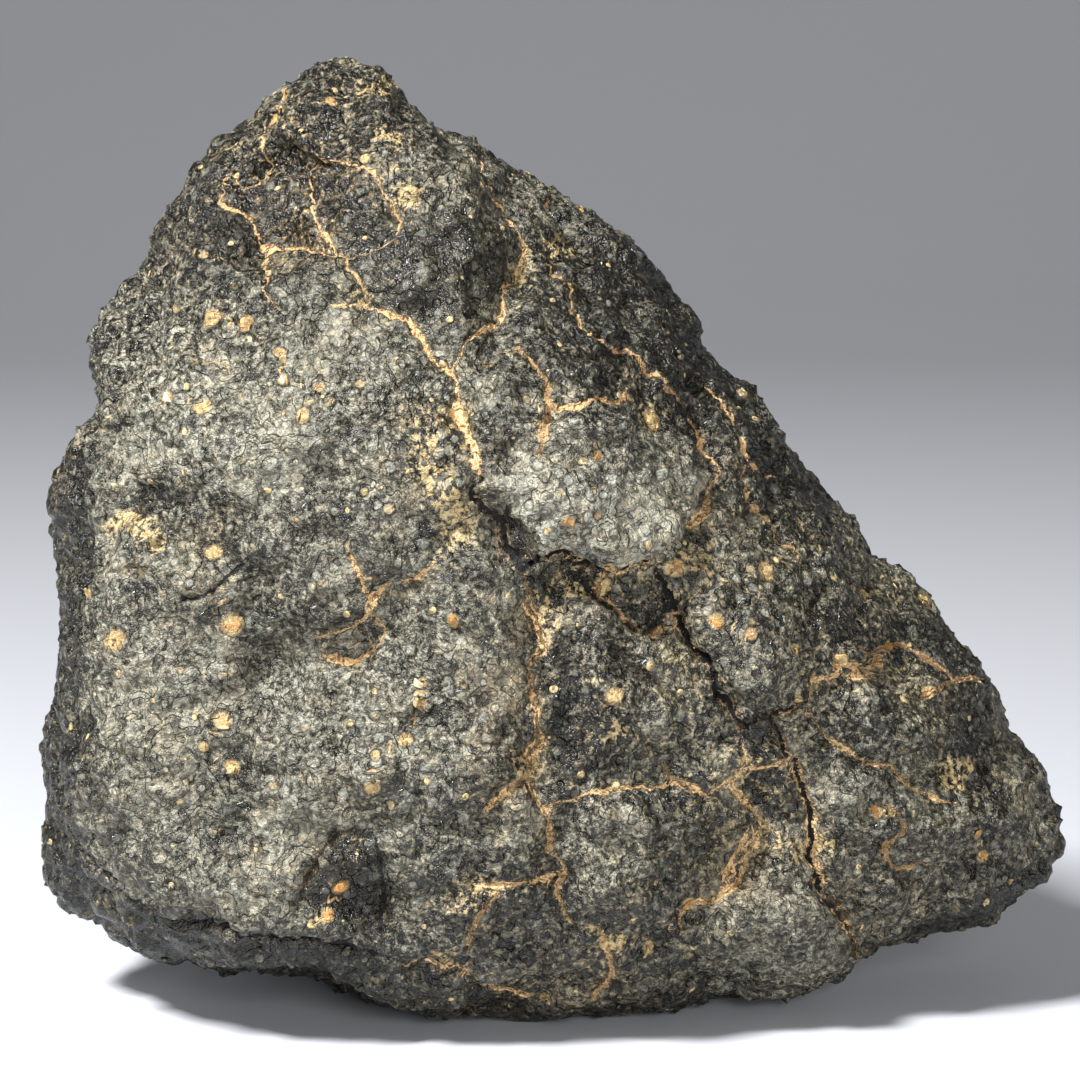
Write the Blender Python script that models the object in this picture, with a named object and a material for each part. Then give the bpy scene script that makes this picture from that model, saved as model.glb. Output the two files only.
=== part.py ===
"""A chondrite meteorite: one weathered stone that stands upright on a small flat foot.

The stone is a sphere pushed out to a soft-edged body: its outline as seen from the front, cut in
depth by flat faces in the way a broken stone is. Hollows, bulges, ledges, knobs, pits and the open
cracks are then pressed into that body, and the bottom is cut flat where the stone stands.
Run it with: blender --background --python part.py
"""

import math

import bmesh
import bpy
import numpy as np
from mathutils import Matrix, Vector, noise

MM = 0.001

# Driving sizes in millimetres. X is the width, Y the depth with the front at -Y, Z the height.
CENTRE = (-6.5, 0.0, 50.5)  # the point inside the stone that its radii are measured from
EDGE_SHARPNESS = 15.0  # higher leaves crisper edges between the faces
GRID_CUTS = 88  # cuts along each edge of the starting cube
FACES_KEPT = 0.1  # share of the fine faces that the finished stone keeps
FOOT_CUT_DEPTH = 20.0

# The outline seen from the front, as (x, z) points, anticlockwise from the right-hand tip.
OUTLINE = [
    (63.6, 21.5),
    (60.8, 29.3),
    (57.0, 37.2),
    (51.5, 45.5),
    (46.0, 50.3),
    (41.0, 53.0),
    (35.5, 60.5),
    (30.0, 67.8),
    (22.0, 78.5),
    (12.5, 90.3),
    (2.0, 100.2),
    (-9.0, 106.5),
    (-14.0, 109.8),
    (-20.0, 115.6),
    (-25.5, 117.2),
    (-32.5, 114.8),
    (-39.6, 109.0),
    (-45.0, 104.8),
    (-48.4, 100.2),
    (-52.3, 91.5),
    (-55.6, 84.0),
    (-55.8, 78.5),
    (-57.2, 72.0),
    (-61.6, 63.0),
    (-63.2, 50.0),
    (-63.8, 36.0),
    (-63.6, 22.5),
    (-61.8, 14.5),
    (-56.5, 10.4),
    (-48.0, 6.4),
    (-37.0, 3.4),
    (-26.5, 1.2),
    (-19.0, -2.0),
    (-10.0, -3.2),
    (0.0, -3.0),
    (12.0, -0.6),
    (29.0, 1.4),
    (40.0, 4.2),
    (52.0, 7.2),
    (61.0, 13.5),
]

# Flat faces: (side, lean, meets). Side is which way the face looks in front view, in degrees
# anticlockwise from +X. Lean is how far it turns from there to look at the viewer, in degrees, and
# meets is how far in front of the stone's middle plane it meets the outline.
FRONT_FACES = {
    "front_left": (176, 81, 26.0),
    "front_right": (2, 71, 12.0),
    "front_low": (266, 42, 18.0),
    "under_left": (250, 33, 12.0),
    "under_right": (290, 38, 7.0),
    "brow_right": (44.6, 34, 6.0),
    "brow_left": (148, 42, 6.0),
    "crown": (110, 58, 9.0),
    "side_left": (181, 30, 13.0),
    "nose_high": (32, 38, 3.0),
    "nose_low": (318, 34, 4.0),
}
# The same for the back, where lean turns the face away from the viewer and meets is behind.
BACK_FACES = {
    "back_left": (190, 78, 23.0),
    "back_right": (12, 66, 12.0),
    "back_high": (50, 50, 10.0),
    "back_crown": (128, 60, 12.0),
    "back_low": (262, 45, 15.0),
    "back_under_right": (292, 40, 5.0),
    "back_under_left": (235, 38, 10.0),
    "back_side_left": (172, 33, 11.0),
    "back_nose": (340, 48, 6.0),
}

# Broad relief: (x, z, radius, height) in front view, height negative for a hollow.
FRONT_RELIEF = [
    (-43.0, 60.0, 12.0, -2.2),
    (-33.0, 47.0, 9.0, -1.6),
    (-54.0, 66.0, 6.0, 1.2),
    (-52.0, 30.0, 13.0, 1.2),
    (-36.0, 25.0, 6.0, -1.6),
    (-24.0, 16.0, 6.5, -1.8),
    (-20.0, 36.0, 9.0, 1.2),
    (-34.0, 98.0, 4.5, -2.6),
    (-30.0, 91.0, 6.0, 1.0),
    (-14.0, 84.0, 8.0, -1.4),
    (-9.0, 66.0, 6.0, 0.8),
    (2.0, 68.0, 8.5, 1.6),
    (11.0, 61.0, 8.0, 1.6),
    (-2.0, 53.0, 4.5, -2.2),
    (2.0, 44.0, 6.0, -1.0),
    (4.0, 34.0, 5.5, -1.8),
    (26.0, 50.0, 9.0, 1.9),
    (17.0, 38.0, 6.0, -1.0),
    (35.0, 38.0, 6.0, 1.0),
    (9.0, 20.0, 6.5, 2.0),
    (-7.0, 23.0, 4.5, 1.3),
    (-7.0, 9.0, 6.0, 1.4),
    (20.0, 22.0, 5.0, -2.0),
    (29.0, 13.0, 7.0, 2.3),
    (18.0, 8.0, 5.0, -1.4),
    (42.0, 26.0, 8.0, 1.8),
    (50.0, 20.0, 5.0, -1.2),
    (-19.0, 6.0, 5.0, 1.4),
    (-30.0, 7.0, 4.0, -1.8),
]
BACK_RELIEF = [
    (-35.0, 70.0, 13.0, -2.4),
    (-12.0, 82.0, 10.0, 1.6),
    (-44.0, 38.0, 11.0, 1.6),
    (-18.0, 48.0, 12.0, -2.4),
    (12.0, 62.0, 11.0, -2.0),
    (20.0, 36.0, 12.0, 1.8),
    (40.0, 34.0, 9.0, -1.7),
    (-8.0, 20.0, 9.0, 1.4),
    (30.0, 16.0, 7.0, -1.4),
    (-30.0, 14.0, 8.0, -1.6),
    (-26.0, 100.0, 6.0, -1.6),
]

# Open cracks of the front: points (x, z) along each one. A "step" is how far the stone on the
# left of the path stands above that on its right.
CRACK_WIDTH = 1.7
CRACK_DEPTH = 1.1
SHOULDER_REACH = 4.5  # how far in from a crack its edges are worn down
SHOULDER_DROP = 0.9
STEP_REACH = 7.0
END_FADE = 7.0  # cracks and steps die away over this length at their ends
FRONT_CRACKS = {
    "ridge": (
        -0.5,
        [(-20, 90), (-15, 86), (-12, 80), (-11, 72), (-9, 66), (-6, 60), (-3, 54), (-2, 44), (-2, 30)],
    ),
    "ridge_foot": (0.3, [(-2, 30), (0, 25), (1, 18), (0, 12), (-3, 7)]),
    "fork": (0.3, [(-12, 80), (-6, 86), (-3, 92), (-6, 101), (-10, 106)]),
    "crown": (-0.4, [(-20, 90), (-24, 96), (-27, 102), (-31, 105), (-38, 101)]),
    "plate_edge": (1.0, [(-4, 57), (0, 59), (5, 57), (12, 58), (17, 62), (19, 67), (20, 72)]),
    "plate_fall": (0.7, [(12, 58), (15, 52), (19, 46), (23, 40), (26, 38), (31, 40), (34, 44), (42, 44), (52, 46)]),
    "lower_right": (0.4, [(26, 38), (29, 33), (31, 26), (33, 19), (36, 13), (38, 7)]),
    "right_vein": (-0.3, [(31, 40), (36, 36), (42, 32), (50, 30)]),
    "lower_vein": (0.5, [(26, 38), (25, 31), (27, 25), (22, 19), (17, 14), (16, 9)]),
    "toe": (-0.4, [(-8, 22), (-2, 22), (1, 24)]),
    "toe_edge": (-0.8, [(-21, 8), (-15, 10), (-9, 7), (-1, 5), (3, 6)]),
    "left_vein": (0.5, [(-32, 49), (-22, 51), (-14, 58)]),
    "left_ledge": (0.9, [(-61, 72), (-54, 76), (-50, 84), (-52, 90)]),
    "pit_edge": (-0.9, [(-50, 68), (-49, 61), (-46, 56)]),
    "dark_patch": (-0.6, [(-21, 25), (-20, 18), (-21, 12)]),
}
BACK_CRACK_SPACING = 24.0
BACK_CRACK_DEPTH = 1.0

# Roughness: (size, height) of each layer of lumps, from broad to small.
ROUGHNESS = [(30.0, 2.6), (13.0, 1.7), (6.5, 0.9)]
KNOBBLY_HEIGHT = 1.5  # more of the small lumps where the stone is knobbly
KNOBBLY_SIZE = 6.5
KNOBBLY_PLACES = [(-50.0, 88.0, 11.0), (-38.0, 104.0, 10.0), (-42.0, 4.0, 14.0), (10.0, 90.0, 14.0)]
PIT_SPACING = 7.5
PIT_DEPTH = 1.1

STONE_COLOUR = (0.075, 0.070, 0.062, 1.0)


def clear_scene():
    for obj in list(bpy.data.objects):
        bpy.data.objects.remove(obj, do_unlink=True)


def collection_named(name):
    made = bpy.data.collections.new(name)
    bpy.context.scene.collection.children.link(made)
    return made


def stone_material():
    material = bpy.data.materials.new("weathered_crust")
    material.use_nodes = True
    shader = material.node_tree.nodes["Principled BSDF"]
    shader.inputs["Base Color"].default_value = STONE_COLOUR
    shader.inputs["Roughness"].default_value = 0.55
    shader.inputs["Metallic"].default_value = 0.0
    material.diffuse_color = STONE_COLOUR
    return material


def outline_radii(angles):
    """The outline's radius round CENTRE at each angle, on a smooth closed curve through OUTLINE."""
    points = np.array(OUTLINE) - np.array([CENTRE[0], CENTRE[2]])
    known_angle = np.unwrap(np.arctan2(points[:, 1], points[:, 0]))
    known_radius = np.hypot(points[:, 0], points[:, 1])
    turns = [known_angle - 2 * np.pi, known_angle, known_angle + 2 * np.pi]
    knots = np.concatenate(turns)
    radii = np.tile(known_radius, 3)
    slopes = np.gradient(radii, knots)
    wrapped = (angles - known_angle[0]) % (2 * np.pi) + known_angle[0]
    after = np.searchsorted(knots, wrapped, side="right")
    before = after - 1
    span = knots[after] - knots[before]
    t = (wrapped - knots[before]) / span
    return (
        radii[before] * (1 + 2 * t) * (1 - t) ** 2
        + radii[after] * t**2 * (3 - 2 * t)
        + slopes[before] * span * t * (1 - t) ** 2
        - slopes[after] * span * t**2 * (1 - t)
    )


def outline_reach(side):
    """How far the outline reaches from CENTRE towards one side, in front view."""
    return max(
        (x - CENTRE[0]) * math.cos(side) + (z - CENTRE[2]) * math.sin(side) for x, z in OUTLINE
    )


def face_plane(side, lean, meets, facing):
    """A face's normal, and its distance from CENTRE. Facing is -1 on the front, 1 on the back."""
    side, lean = math.radians(side), math.radians(lean)
    normal = (
        math.cos(side) * math.cos(lean),
        facing * math.sin(lean),
        math.sin(side) * math.cos(lean),
    )
    return np.array(normal), outline_reach(side) * math.cos(lean) + meets * math.sin(lean)


def body_radii(directions):
    """How far the outline's prism, blended with the flat faces, reaches from CENTRE."""
    angles = np.arctan2(directions[:, 2], directions[:, 0])
    across = np.hypot(directions[:, 0], directions[:, 2])
    closeness = (across / outline_radii(angles)) ** EDGE_SHARPNESS
    for faces, facing in ((FRONT_FACES, -1), (BACK_FACES, 1)):
        for face in faces.values():
            normal, distance = face_plane(*face, facing)
            closeness += (np.clip(directions @ normal, 0, None) / distance) ** EDGE_SHARPNESS
    return closeness ** (-1 / EDGE_SHARPNESS)


def body_points(directions):
    """The soft-edged body, stretched where the blend has drawn its widest belt in."""
    angles = np.arctan2(directions[:, 2], directions[:, 0])
    across = np.hypot(directions[:, 0], directions[:, 2])
    belt = np.stack([np.cos(angles), np.zeros(len(angles)), np.sin(angles)], axis=1)
    drawn_in = outline_radii(angles) / body_radii(belt)
    stretch = 1 + (drawn_in - 1) * across**2
    offset = directions * body_radii(directions)[:, None]
    offset[:, [0, 2]] *= stretch[:, None]
    return np.array(CENTRE) + offset


def mound(places, points):
    """The summed height of round mounds and hollows at each point's (x, z)."""
    height = np.zeros(len(points))
    for x, z, radius, rise in places:
        apart = ((points[:, 0] - x) ** 2 + (points[:, 2] - z) ** 2) / radius**2
        height += rise * np.exp(-apart * 1.4)
    return height


def path_distance(points, path):
    """Each point's distance from a path in front view, its side of it (+1 left, -1 right), and how
    far the nearest place on the path is from the path's nearer end."""
    best = np.full(len(points), np.inf)
    side = np.ones(len(points))
    passed = np.zeros(len(points))
    flat = points[:, [0, 2]]
    length = 0.0
    for start, end in zip(np.array(path[:-1], float), np.array(path[1:], float)):
        along = end - start
        t = np.clip((flat - start) @ along / (along @ along), 0, 1)
        offset = flat - (start + t[:, None] * along)
        distance = np.hypot(offset[:, 0], offset[:, 1])
        nearer = distance < best
        best[nearer] = distance[nearer]
        turned = along[0] * offset[:, 1] - along[1] * offset[:, 0]
        side[nearer] = np.sign(turned[nearer])
        passed[nearer] = length + t[nearer] * math.hypot(*along)
        length += math.hypot(*along)
    return best, side, np.minimum(passed, length - passed)


def wander(points, size, amount):
    """Small sideways wobble, so that straight stretches of a crack look broken."""
    return np.array([noise.noise_vector(Vector(p) / size) for p in points]) * amount


def front_cracks(points):
    """Grooves along FRONT_CRACKS with worn shoulders, and one lip of each raised as a ledge."""
    groove = np.zeros(len(points))
    shoulder = np.zeros(len(points))
    ledges = np.zeros(len(points))
    wobbled = points + wander(points, 5.0, 1.1)
    for step, path in FRONT_CRACKS.values():
        distance, side, from_end = path_distance(wobbled, path)
        fade = np.clip(from_end / END_FADE, 0, 1)
        groove = np.maximum(groove, (0.3 + 0.7 * fade) * np.exp(-((distance / CRACK_WIDTH) ** 2)))
        shoulder = np.maximum(shoulder, fade * np.exp(-((distance / SHOULDER_REACH) ** 2)))
        ledges += 0.5 * step * side * fade * np.exp(-distance / STEP_REACH)
    return ledges - CRACK_DEPTH * groove - SHOULDER_DROP * shoulder


def back_cracks(points):
    """A net of cracks like those of the front, between cells of a scattered grid."""
    height = np.zeros(len(points))
    for i, point in enumerate(points + wander(points, 9.0, 4.0)):
        place = Vector(point) / BACK_CRACK_SPACING
        nearest = noise.voronoi(place)[0]
        gap = (nearest[1] - nearest[0]) * BACK_CRACK_SPACING
        open_here = 0.5 + 0.9 * noise.noise(place * 1.3)
        height[i] = -BACK_CRACK_DEPTH * max(0.0, open_here) * math.exp(-((gap / 2.0) ** 2))
    return height


def lumps(points):
    """Layers of rounded lumps, with extra small ones in the knobbly places."""
    knobbly = np.clip(mound([(x, z, r, 1.0) for x, z, r in KNOBBLY_PLACES], points), 0, 1)
    height = np.zeros(len(points))
    for i, point in enumerate(points):
        place = Vector(point)
        for size, rise in ROUGHNESS:
            height[i] += rise * noise.noise(place / size)
        height[i] += KNOBBLY_HEIGHT * knobbly[i] * (0.5 - noise.voronoi(place / KNOBBLY_SIZE)[0][0])
    return height


def pits(points):
    """Scattered shallow pits, where coarse grains have fallen out."""
    height = np.zeros(len(points))
    for i, point in enumerate(points):
        place = Vector(point) / PIT_SPACING
        nearest = noise.voronoi(place)[0][0]
        chosen = noise.cell(place * 0.37) > 0.55
        height[i] = -PIT_DEPTH * chosen * max(0.0, 1 - (nearest / 0.36) ** 2)
    return height


def relief(points, normals):
    """How far each point moves out along its normal."""
    front = np.clip(-normals[:, 1] * 1.6 + 0.35, 0, 1)
    back = np.clip(normals[:, 1] * 1.6 + 0.35, 0, 1)
    height = front * (mound(FRONT_RELIEF, points) + front_cracks(points))
    height += back * mound(BACK_RELIEF, points)
    height += (1 - front) * back_cracks(points)
    return height + lumps(points) + pits(points)


def stone_mesh():
    """The fine mesh: a cube's grid made round, pushed out to the body and given its relief."""
    grid = bmesh.new()
    bmesh.ops.create_cube(grid, size=2.0)
    bmesh.ops.subdivide_edges(grid, edges=grid.edges[:], cuts=GRID_CUTS, use_grid_fill=True)
    directions = np.array([vertex.co.normalized() for vertex in grid.verts])
    body = body_points(directions)
    for vertex, place in zip(grid.verts, body):
        vertex.co = place
    grid.normal_update()
    normals = np.array([vertex.normal for vertex in grid.verts])
    worn = body + normals * relief(body, normals)[:, None]
    middle = (worn.min(axis=0) + worn.max(axis=0)) / 2
    for vertex, place in zip(grid.verts, worn):
        vertex.co = (place[0] - middle[0], place[1] - middle[1], place[2])
    bmesh.ops.transform(grid, matrix=Matrix.Scale(MM, 4), verts=grid.verts)
    mesh = bpy.data.meshes.new("stone")
    grid.to_mesh(mesh)
    grid.free()
    return mesh


def table_cutter(collection):
    """A block under the stone whose top is the table: it cuts the small flat foot."""
    bpy.ops.mesh.primitive_cube_add(size=1.0, location=(0, 0, -FOOT_CUT_DEPTH / 2 * MM))
    cutter = bpy.context.object
    cutter.name = "table_cutter"
    cutter.scale = (0.2, 0.2, FOOT_CUT_DEPTH * MM)
    cutter.hide_render = True
    cutter.display_type = "WIRE"
    for holder in list(cutter.users_collection):
        holder.objects.unlink(cutter)
    collection.objects.link(cutter)
    return cutter


def build_stone():
    stones = collection_named("chondrite_meteorite")
    cutters = collection_named("cutters")
    stone = bpy.data.objects.new("stone", stone_mesh())
    stones.objects.link(stone)
    stone.data.materials.append(stone_material())

    fewer = stone.modifiers.new("fewer_faces", "DECIMATE")
    fewer.ratio = FACES_KEPT
    foot = stone.modifiers.new("flat_foot", "BOOLEAN")
    foot.operation = "DIFFERENCE"
    foot.object = table_cutter(cutters)
    return stone


clear_scene()
build_stone()
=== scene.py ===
"""The looks of a chondrite meteorite: a dark weathered stone with rusty cracks and chondrules.

The skin is a finer copy of the CAD stone. The cracks, stains and large chondrules of its front are
laid out in the camera's view and cast onto it, and the rest of the skin gets the same kinds of
marks from procedural patterns. Grains, chondrules and rust crumbs are scattered by Geometry Nodes.
"""

import math

import bmesh
import bpy
import numpy as np
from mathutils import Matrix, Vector, kdtree, noise
from mathutils.bvhtree import BVHTree


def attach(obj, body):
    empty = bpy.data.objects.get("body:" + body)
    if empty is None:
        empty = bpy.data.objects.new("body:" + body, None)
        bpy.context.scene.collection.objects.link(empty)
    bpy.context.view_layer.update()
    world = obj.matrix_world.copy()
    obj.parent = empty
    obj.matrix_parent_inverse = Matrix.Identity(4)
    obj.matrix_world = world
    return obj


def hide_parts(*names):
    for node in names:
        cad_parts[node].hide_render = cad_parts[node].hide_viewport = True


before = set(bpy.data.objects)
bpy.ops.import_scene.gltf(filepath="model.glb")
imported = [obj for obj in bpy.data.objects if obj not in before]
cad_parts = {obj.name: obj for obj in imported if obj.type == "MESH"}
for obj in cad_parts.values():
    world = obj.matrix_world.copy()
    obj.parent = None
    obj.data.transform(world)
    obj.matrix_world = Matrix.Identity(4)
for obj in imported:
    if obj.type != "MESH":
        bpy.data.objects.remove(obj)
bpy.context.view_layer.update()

MM = 0.001

# The camera, in millimetres and degrees. It looks slightly down at the stone's front.
VIEW_CENTRE = (-1.4, 0.0, 57.9)
VIEW_DISTANCE = 450.0
VIEW_ELEVATION = 8.0
VIEW_WIDTH = 135.0  # how wide the picture is at the stone's middle plane
SENSOR = 36.0

# The skin, in millimetres.
FACE_SIZE = 0.73
WEAR_ROUNDS = 14  # rounds of smoothing that take the flat CAD facets away
TRACE_STEP = 0.12  # distance between the points cast along a crack

# Places on the front are (across, up) from the middle of the camera's view, in millimetres.

# Cracks of the front: how open, how filled with rust, half width, and the points along it.
CRACKS = {
    "ridge_top": (
        0.15,
        0.7,
        0.16,
        [
            (-21.4, 29.6), (-19.0, 28.4), (-16.2, 27.0), (-14.5, 24.9), (-12.8, 22.9),
            (-11.1, 21.0), (-10.4, 18.8),
        ],
    ),
    "ridge_rusty": (
        0.1,
        0.8,
        0.24,
        [
            (-10.4, 18.8), (-10.2, 15.4), (-8.9, 12.8), (-7.9, 10.2), (-7.6, 7.6),
        ],
    ),
    "ridge_shadowed": (
        0.85,
        0.3,
        0.23,
        [
            (-7.6, 7.6), (-8.5, 6.2), (-7.6, 3.8), (-5.9, 2.5), (-4.6, -1.0), (-2.5, -4.0),
        ],
    ),
    "ridge_low": (
        0.45,
        1.0,
        0.25,
        [
            (-2.5, -4.0), (-1.4, -7.0), (-0.2, -10.9), (0.4, -13.5), (-1.1, -15.2), (-1.4, -18.6),
            (-0.5, -21.6), (-0.5, -25.5), (-0.8, -29.0), (-2.5, -30.8),
        ],
    ),
    "fork": (
        0.2,
        0.75,
        0.14,
        [
            (-11.1, 21.0), (-9.8, 23.6), (-6.8, 26.1), (-4.1, 28.8), (-3.5, 31.8), (-2.0, 34.8),
            (-1.9, 37.0), (-2.9, 38.6), (-4.1, 41.2), (-6.5, 43.9), (-7.6, 47.2),
        ],
    ),
    "crown": (
        0.2,
        0.6,
        0.1,
        [
            (-21.0, 29.6), (-23.6, 33.9), (-24.5, 35.6), (-26.6, 37.8), (-28.4, 41.2),
            (-29.2, 44.2), (-29.2, 46.9),
        ],
    ),
    "crown_left": (
        0.2,
        0.5,
        0.07,
        [
            (-24.5, 35.6), (-30.5, 36.8), (-34.8, 37.8), (-36.5, 40.9),
        ],
    ),
    "crown_right": (
        0.2,
        0.5,
        0.07,
        [
            (-24.5, 35.6), (-20.6, 36.5), (-18.0, 37.8), (-17.6, 40.0), (-19.2, 43.0),
            (-20.6, 46.0), (-26.1, 47.8), (-31.8, 46.4),
        ],
    ),
    "crown_west": (
        0.2,
        0.6,
        0.07,
        [
            (-21.0, 29.6), (-26.1, 29.2),
        ],
    ),
    "plate_edge": (
        1.0,
        0.9,
        0.28,
        [
            (-2.0, -3.8), (0.1, -2.9), (2.8, -2.2), (4.4, -2.9), (6.1, -4.2), (8.8, -4.8),
            (10.9, -4.4), (14.8, -3.1), (16.0, -2.0),
        ],
    ),
    "plate_edge_up": (
        0.35,
        1.0,
        0.26,
        [
            (16.0, -2.0), (16.9, -1.0), (19.1, 2.0), (21.2, 4.6), (21.2, 6.8), (22.5, 8.0),
        ],
    ),
    "plate_fall": (
        0.95,
        0.5,
        0.23,
        [
            (14.8, -4.4), (16.5, -7.9), (17.8, -11.8), (20.8, -15.2), (22.5, -18.6), (25.1, -22.1),
            (26.4, -23.4),
        ],
    ),
    "plate_fall_right": (
        0.8,
        0.6,
        0.2,
        [
            (26.4, -23.4), (28.1, -22.5), (32.0, -21.6), (34.1, -20.8),
        ],
    ),
    "nose_vein": (
        0.3,
        1.0,
        0.18,
        [
            (34.1, -20.8), (34.4, -18.6), (35.8, -17.4), (38.8, -17.2), (42.6, -17.4),
        ],
    ),
    "nose_end": (
        0.4,
        0.9,
        0.16,
        [
            (47.4, -18.9), (50.4, -18.5), (52.5, -17.4), (55.1, -17.4),
        ],
    ),
    "plate_hem": (
        0.3,
        0.5,
        0.14,
        [
            (7.5, -6.1), (10.0, -8.8), (13.0, -10.9), (15.2, -11.1), (16.8, -9.6),
        ],
    ),
    "low_vein": (
        0.35,
        1.0,
        0.17,
        [
            (24.8, -23.5), (25.0, -25.9), (25.4, -28.4), (24.5, -29.8), (25.4, -32.2),
            (27.5, -34.9), (28.4, -37.0), (26.2, -40.0), (23.2, -43.5), (19.4, -46.0),
            (18.1, -47.8), (17.2, -49.9),
        ],
    ),
    "low_vein_tie": (
        0.3,
        0.9,
        0.16,
        [
            (25.4, -28.4), (28.4, -28.1), (31.0, -27.4),
        ],
    ),
    "nose_fall": (
        0.62,
        1.0,
        0.26,
        [
            (28.1, -22.5), (29.2, -23.2), (30.1, -25.9), (31.4, -27.5), (32.5, -30.1),
            (33.6, -34.4), (34.2, -37.9), (34.4, -41.2), (36.1, -44.8), (37.9, -47.8),
            (39.1, -50.8), (40.0, -53.4),
        ],
    ),
    "nose_hair": (
        0.3,
        0.9,
        0.13,
        [
            (34.4, -22.4), (36.6, -25.0), (40.0, -27.1), (43.5, -28.4), (46.5, -30.5),
            (49.9, -32.2), (52.9, -32.5),
        ],
    ),
    "toe_west": (
        0.3,
        0.9,
        0.16,
        [
            (-0.8, -29.2), (-2.5, -30.5), (-6.8, -34.0),
        ],
    ),
    "toe_fall": (
        0.35,
        0.95,
        0.17,
        [
            (-0.8, -29.2), (0.1, -32.8), (1.4, -34.4), (1.6, -37.5), (2.0, -40.9), (2.2, -43.0),
            (2.5, -45.6), (4.0, -48.2),
        ],
    ),
    "toe_east": (
        0.2,
        0.85,
        0.13,
        [
            (1.4, -33.2), (5.2, -32.0), (9.6, -31.0), (14.8, -31.0), (18.2, -30.5), (20.8, -31.6),
            (23.8, -29.8), (24.6, -28.9),
        ],
    ),
    "toe_tie": (
        0.3,
        0.9,
        0.16,
        [
            (2.8, -41.9), (-1.1, -42.5), (-3.0, -43.4), (-7.1, -43.8), (-9.0, -43.6),
        ],
    ),
    "toe_tie_fall": (
        0.4,
        0.7,
        0.14,
        [
            (-5.9, -44.8), (-6.9, -46.6), (-9.0, -49.2), (-9.0, -53.8),
        ],
    ),
    "toe_hem": (
        0.4,
        0.95,
        0.18,
        [
            (-17.6, -53.8), (-14.5, -53.2), (-9.8, -54.9), (-7.5, -56.6), (-3.0, -56.9),
            (-1.8, -57.6), (1.1, -57.5),
        ],
    ),
    "left_vein": (
        0.25,
        0.7,
        0.13,
        [
            (-27.9, -12.1), (-24.0, -11.8), (-21.5, -9.1), (-21.0, -7.9), (-18.0, -6.1),
            (-14.5, -4.4), (-12.0, -1.9),
        ],
    ),
    "left_vein_up": (
        0.2,
        0.6,
        0.13,
        [
            (-21.5, -7.9), (-22.8, -4.4), (-24.0, -1.9), (-24.0, 0.8),
        ],
    ),
    "left_vein_low": (
        0.2,
        0.6,
        0.09,
        [
            (-20.6, -9.6), (-19.8, -12.1), (-23.6, -15.2), (-27.0, -14.4),
        ],
    ),
    "brow_vein": (
        0.25,
        0.6,
        0.14,
        [
            (1.0, 34.8), (3.6, 32.6), (4.9, 29.2), (6.1, 26.6), (8.8, 24.0),
        ],
    ),
    "brow_hair": (
        0.2,
        0.5,
        0.13,
        [
            (2.0, 43.9), (0.8, 40.9),
        ],
    ),
    "dark_patch_edge": (
        0.7,
        0.1,
        0.18,
        [
            (-20.6, -37.5), (-20.1, -40.9), (-19.8, -45.2), (-20.1, -49.1),
        ],
    ),
    "hollow_step": (
        0.5,
        0.1,
        0.12,
        [
            (-51.0, 8.8), (-49.9, 7.1), (-49.4, 4.1), (-50.0, 2.5),
        ],
    ),
    "left_shelf": (
        0.85,
        0.1,
        0.2,
        [
            (-51.1, 15.0), (-53.1, 14.5), (-55.0, 14.1), (-56.8, 11.9), (-57.5, 8.8), (-58.1, 5.0),
        ],
    ),
    "upper_left_edge": (
        0.6,
        0.15,
        0.16,
        [
            (-46.4, 30.9), (-46.4, 28.8), (-48.6, 24.5),
        ],
    ),
    "brow_fall": (
        0.2,
        0.5,
        0.2,
        [
            (8.8, 24.0), (12.5, 22.2), (16.5, 19.0), (18.8, 16.2), (20.6, 12.5), (21.8, 8.8),
        ],
    ),
    "brow_side": (
        0.3,
        0.4,
        0.18,
        [
            (-5.0, 24.4), (-2.5, 23.8), (0.6, 21.0), (1.0, 17.5), (0.6, 13.8), (0.0, 10.6),
        ],
    ),
    "brow_tie": (
        0.2,
        0.5,
        0.18,
        [
            (0.6, 17.5), (4.4, 16.5), (7.5, 17.5), (12.5, 18.0),
        ],
    ),
    "crown_side": (
        0.2,
        0.5,
        0.1,
        [
            (-39.8, 46.2), (-40.2, 43.8), (-39.8, 41.9), (-37.5, 40.9), (-34.8, 38.0),
            (-34.0, 34.8), (-34.8, 31.9), (-33.1, 28.8),
        ],
    ),
    "crown_ring": (
        0.1,
        0.6,
        0.09,
        [
            (-35.2, 52.5), (-35.5, 48.8), (-34.8, 45.5), (-36.2, 44.5), (-38.1, 45.0),
            (-39.5, 46.5),
        ],
    ),
    "left_hair": (
        0.6,
        0.02,
        0.12,
        [
            (-36.5, -2.5), (-38.5, -4.4), (-40.6, -6.2), (-42.8, -7.1), (-45.0, -7.5),
        ],
    ),
    "toe_hair": (
        0.3,
        0.5,
        0.18,
        [
            (7.5, -48.8), (8.4, -51.2), (9.0, -54.4), (7.0, -56.9), (5.6, -57.5),
        ],
    ),
    "low_hair": (
        0.3,
        0.3,
        0.16,
        [
            (15.0, -27.5), (17.5, -30.0), (20.0, -31.6), (21.5, -32.5),
        ],
    ),
    "pocket_top": (
        0.5,
        0.2,
        0.2,
        [
            (-30.0, -45.6), (-29.0, -42.5), (-27.2, -38.8), (-25.6, -37.0), (-23.5, -36.5),
        ],
    ),
    "left_rim": (
        0.75,
        0.05,
        0.26,
        [
            (-61.0, -28.8), (-60.2, -33.8), (-58.5, -37.5), (-56.0, -40.8), (-53.5, -43.0),
        ],
    ),
    "under_rim": (
        0.7,
        0.0,
        0.3,
        [
            (-53.5, -43.8), (-48.8, -46.5), (-42.5, -48.2), (-35.6, -49.5), (-30.0, -50.2),
            (-24.4, -51.9), (-19.0, -52.8),
        ],
    ),
    "right_hair": (
        0.3,
        0.45,
        0.18,
        [
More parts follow.
